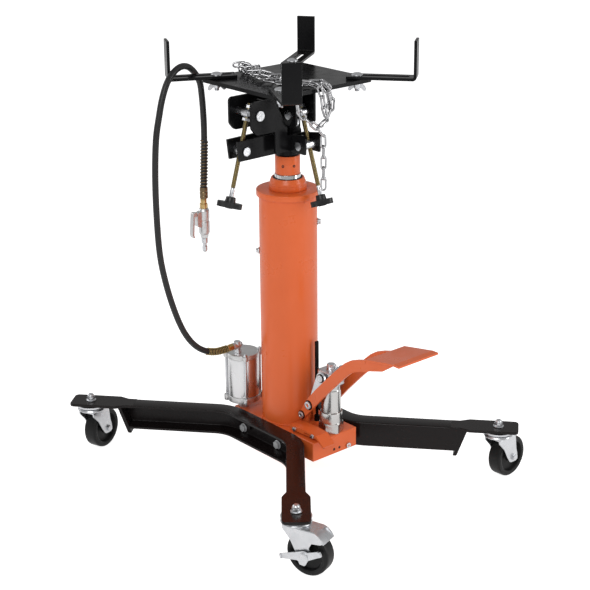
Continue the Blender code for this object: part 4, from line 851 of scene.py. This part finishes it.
def air_motor():
    x, y = MOTOR_AT
    lobes = []
    for k in range(4):
        angle = radians(-121 + 90 * k)
        lobes.append(((x + 0.0365 * cos(angle), y + 0.0365 * sin(angle)), angle))
    for name, low, high, node in (("base", 0.136, 0.149, "air_motor_base"),
                                  ("head", 0.2365, 0.247, "air_motor_cap")):
        shapes = [hoop(0, MOTOR_R, low, high, (x, y, 0), sides=96, soft=0.001)]
        for at, _ in lobes:
            shapes.append(pin((*at, low), (*at, high), 0.0062, 40, 0.0009))
        if name == "base":
            shapes.append(hexagon((x, y, BLOCK_TOP + GAP), (x, y, 0.1375), 0.0115, 0.4))
        piece(f"air_motor_{name}", joined(*shapes), "chassis", CAST, node)
    can = hoop(0.0315, 0.0346, 0.1494, 0.2361, (x, y, 0), sides=96, soft=0.0003)
    piece("air_motor_can", can, "chassis", ALUMINIUM, "air_motor_barrel")
    rods = []
    for (px, py), angle in lobes:
        rods.append(pin((px, py, 0.1492), (px, py, 0.2363), 0.0026, 20))
        rods.append(hexagon((px, py, 0.2472), (px, py, 0.2512), 0.0049, angle))
        rods.append(pin((px, py, 0.251), (px, py, 0.2536), 0.0026, 20))
    piece("air_motor_tie_rods", joined(*rods), "chassis", BRIGHT_ZINC)
    elbow = Vector((x - 0.015, y, 0.247))
    axis = elbow + Vector((0, 0, 0.016))
    west = Vector((-1, 0, 0))
    body = joined(
        hexagon(elbow + Vector((0, 0, GAP)), elbow + Vector((0, 0, 0.008)), 0.0088, 0.2),
        pin(elbow + Vector((0, 0, 0.0075)), elbow + Vector((0, 0, 0.0262)), 0.0076, 40, 0.0014),
        pin(axis + Vector((0.006, 0, 0)), axis + west * 0.013, 0.0076, 40, 0.0014),
    )
    piece("inlet_elbow", body, "chassis", ZINC, "air_elbow")
    nut = joined(hexagon(axis + west * 0.0132, axis + west * 0.0225, 0.0082, 0.1),
                 pin(axis + west * 0.022, axis + west * 0.0276, 0.0066, 32))
    piece("inlet_nut", nut, "chassis", BRASS)


def hose():
    """The hose from the inlet nut to its ferrule, with a wound spring guard over each end."""
    line = [p + AXIS for p in smooth_line(HOSE_ROUTE, 4)]
    start = GUARD_ENDS_AT * 4
    low = Vector((VALVE_AT[0] + 0.001, VALVE_AT[1] - 0.0005, UPPER_GUARD_LOW))
    mid = low + Vector((0, 0, 0.024))
    top = Vector(HOSE_ROUTE[-1])
    fall = [top.lerp(mid, k / 8) for k in range(9)]
    route = line + [p + AXIS for p in fall[1:]] + [low + AXIS + Vector((0, 0, 0.001))]
    tube = tube_along(route)
    spring = coil([p - AXIS for p in line[:start + 1]], 0.0075, 0.0009, 0.004)
    guard_low = piece("inlet_spring_guard", spring, "chassis", YELLOW_GUARD, "hose_guard_lower", sharp=60)
    spring = coil([p - AXIS for p in line[-5:-1]] + fall, 0.0076, 0.001, 0.0068)
    guard_up = piece("valve_spring_guard", spring, "chassis", GUARD_BRASS, "hose_guard_upper", sharp=60)
    ferrule = piece("hose_ferrule", lathe([
        (0, 0), (0.0086, 0), (0.0086, 0.005), (0.0078, 0.0062), (0.0086, 0.0078), (0.0086, 0.013),
        (0.0078, 0.0146), (0.0086, 0.0162), (0.0082, 0.0236), (0, 0.0236),
    ], low, sides=48, soft=0.0006), "chassis", GUARD_BRASS)
    valve()


def tube_along(route):
    """The hose itself, as a curve with a round bevel."""
    data = bpy.data.curves.new("air_hose", "CURVE")
    data.dimensions = "3D"
    data.bevel_depth = HOSE_R
    data.bevel_resolution = 7
    data.use_fill_caps = True
    spline = data.splines.new("POLY")
    spline.points.add(len(route) - 1)
    for point, at in zip(spline.points, route):
        point.co = (*at, 1)
    made = bpy.data.objects.new("air_hose", data)
    bpy.context.scene.collection.objects.link(made)
    data.materials.append(RUBBER)
    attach(made, "chassis")
    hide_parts("hose_tube")
    return made


def valve():
    """The hand valve at the hose's end: its nut, its body and lever, and the air plug."""
    x, y = VALVE_AT
    nut = piece("valve_nut", joined(
        hexagon((x, y, 0.569), (x, y, 0.579), 0.0086, 0.2),
        pin((x, y, 0.5785), (x, y, UPPER_GUARD_LOW - GAP), 0.0066, 32),
    ), "chassis", BRASS)
    body = piece("valve_body", joined(
        lathe([(0, 0.5125), (0.0098, 0.5125), (0.0116, 0.517), (0.0116, 0.539), (0.0104, 0.543),
               (0.0116, 0.547), (0.0116, 0.564), (0.009, 0.5692), (0, 0.5692)],
              (x, y, 0), sides=64, soft=0.0012),
        slab(rounded([(x - 0.0205, 0.533), (x - 0.004, 0.527), (x - 0.004, 0.5645),
                      (x - 0.0205, 0.562)], [0.003, 0, 0, 0.004]), "Y", y - 0.0058, y + 0.0058),
        hexagon((x, y, 0.5056), (x, y, 0.513), 0.0086, 0.5),
    ), "chassis", CAST, "air_valve_body", bevel=0.0005)
    hinge = Vector((x - 0.0245, y, 0.56))
    side = [(0.003, 0.0042), (0.003, -0.0046), (-0.003, -0.0046), (-0.0055, -0.044),
            (-0.0035, -0.0498), (-0.008, -0.0493), (-0.0105, -0.043), (-0.0062, 0.0042)]
    side = rounded([(hinge.x + a, hinge.z + b) for a, b in side],
                   [0.0012, 0.0012, 0.001, 0.004, 0.001, 0.001, 0.004, 0.002], 3)
    lever = slab(side, "Y", y - 0.0054, y + 0.0054)
    lever = piece("valve_lever", lever, "valve_lever", CAST, "air_valve_lever", bevel=0.0008)
    plug = piece("plug_nipple", lathe([
        (0, 0.474), (0.004, 0.474), (0.0056, 0.4775), (0.0056, 0.4858), (0.0042, 0.4874),
        (0.0042, 0.4922), (0.007, 0.4935), (0.007, 0.5052), (0, 0.5052),
    ], (x, y, 0), sides=48, soft=0.0005), "chassis", BRIGHT_ZINC, "air_plug")
    return nut, body, lever, plug


# ---- CAD pieces that keep their own shape ----
def dress(node, material, bevel=0.0007):
    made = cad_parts[node]
    made.data.materials.clear()
    made.data.materials.append(material)
    if bevel:
        round_edges(made, bevel)


def dress_all():
    dress("base_block", ORANGE, 0.001)
    for node in ("head_yoke", "tilt_bracket", "saddle_bracket", "saddle_plate"):
        dress(node, BLACK, 0.0008)
    dress("release_lever", BLACK, 0.0004)
    for node in ("pedal_bracket", "pedal_frame", "release_pedal"):
        dress(node, ORANGE, 0.0008)
    dress("pump_link", BRIGHT_ZINC, 0.0006)
    for name in ("left", "right"):
        dress(f"upper_trunnion_{name}", BRIGHT_ZINC, 0.0005)
        dress(f"lower_trunnion_{name}", BRIGHT_ZINC, 0.0005)
    dress("side_tilt_pin", BRIGHT_ZINC, 0.0004)
    dress("fore_tilt_pin", BRIGHT_ZINC, 0.0004)
    dress("ram_stage_two", CHROME, 0)
    dress("air_motor_piston", ALUMINIUM, 0)


# ---- scene ----
CAMERA_AT = Vector((-1.91924, -2.24608, 1.47143))
CAMERA_AWAY = Vector((0.61026502, 0.71419071, -0.34279475))
CAMERA_RIGHT = Vector((0.75789439, -0.65230393, -0.00978128))
LIGHTS_LOOK_AT = Vector((0, 0, 0.5))
WORLD_SEEN, WORLD_UNSEEN = 1.0, 0.42
FLOOR_SEEN, FLOOR_UNSEEN = 0.85, 0.42
FLOOR_RADIUS = 14


def camera():
    data = bpy.data.cameras.new("camera")
    data.sensor_width = 36
    data.lens = 91.73
    data.shift_x = 0.0103
    data.shift_y = -0.0023
    made = bpy.data.objects.new("camera", data)
    bpy.context.scene.collection.objects.link(made)
    up = CAMERA_RIGHT.cross(CAMERA_AWAY)
    turn = Matrix((CAMERA_RIGHT, up, -CAMERA_AWAY)).transposed().to_4x4()
    made.matrix_world = Matrix.Translation(CAMERA_AT + AXIS) @ turn
    bpy.context.scene.camera = made


def light(name, at, size, power):
    """A soft rectangle that looks at the column's middle."""
    data = bpy.data.lights.new(name, "AREA")
    data.shape = "RECTANGLE"
    data.size, data.size_y = size
    data.energy = power
    made = bpy.data.objects.new(name, data)
    bpy.context.scene.collection.objects.link(made)
    made.location = at
    made.rotation_euler = (LIGHTS_LOOK_AT - Vector(at)).to_track_quat("-Z", "Y").to_euler()


def for_camera(tree, socket, seen, unseen):
    """Gives a strength one value for what the camera sees and another for the light it sheds."""
    path = tree.nodes.new("ShaderNodeLightPath")
    span = tree.nodes.new("ShaderNodeMapRange")
    put(span, To_Min=unseen, To_Max=seen)
    tree.links.new(path.outputs["Is Camera Ray"], span.inputs["Value"])
    tree.links.new(span.outputs["Result"], socket)


def studio():
    """A white world, three soft lights and a pale floor."""
    world = bpy.data.worlds.new("studio")
    bpy.context.scene.world = world
    world.use_nodes = True
    background = world.node_tree.nodes["Background"]
    put(background, Color=(1, 1, 1, 1))
    for_camera(world.node_tree, background.inputs["Strength"], WORLD_SEEN, WORLD_UNSEEN)
    light("key", (-2.4, -1.6, 2.4), (1.6, 1.6), 40)
    light("side_strip", (1.7, -2.3, 1.3), (0.5, 2.2), 26)
    light("back_strip", (-1.2, 2.4, 1.8), (0.8, 2.2), 16)
    floor = bmesh.new()
    bmesh.ops.create_circle(floor, cap_ends=True, segments=96, radius=FLOOR_RADIUS)
    mesh = bpy.data.meshes.new("floor")
    floor.to_mesh(mesh)
    floor.free()
    made = bpy.data.objects.new("floor", mesh)
    bpy.context.scene.collection.objects.link(made)
    paint = bpy.data.materials.new("floor_paint")
    paint.use_nodes = True
    shader = paint.node_tree.nodes["Principled BSDF"]
    put(shader, Base_Color=(0.8, 0.8, 0.8, 1), Roughness=0.9, Specular_IOR_Level=0.0,
        Emission_Color=(1, 1, 1, 1))
    for_camera(paint.node_tree, shader.inputs["Emission Strength"], FLOOR_SEEN, FLOOR_UNSEEN)
    mesh.materials.append(paint)
    bpy.context.scene.view_settings.view_transform = "Standard"


def build():
    camera()
    hose()
    leg("leg_left", -1)
    leg("leg_right", 1)
    base_details()
    column()
    for one in CASTERS:
        caster(*one)
    for arm in SADDLE_ARMS:
        saddle_arm(*arm)
    tilt_screw("left", LEFT_TOP, LEFT_LOW, "Y")
    tilt_screw("right", RIGHT_TOP, RIGHT_LOW, "X")
    chain()
    pump()
    pedal()
    air_motor()
    dress_all()
    studio()


build()
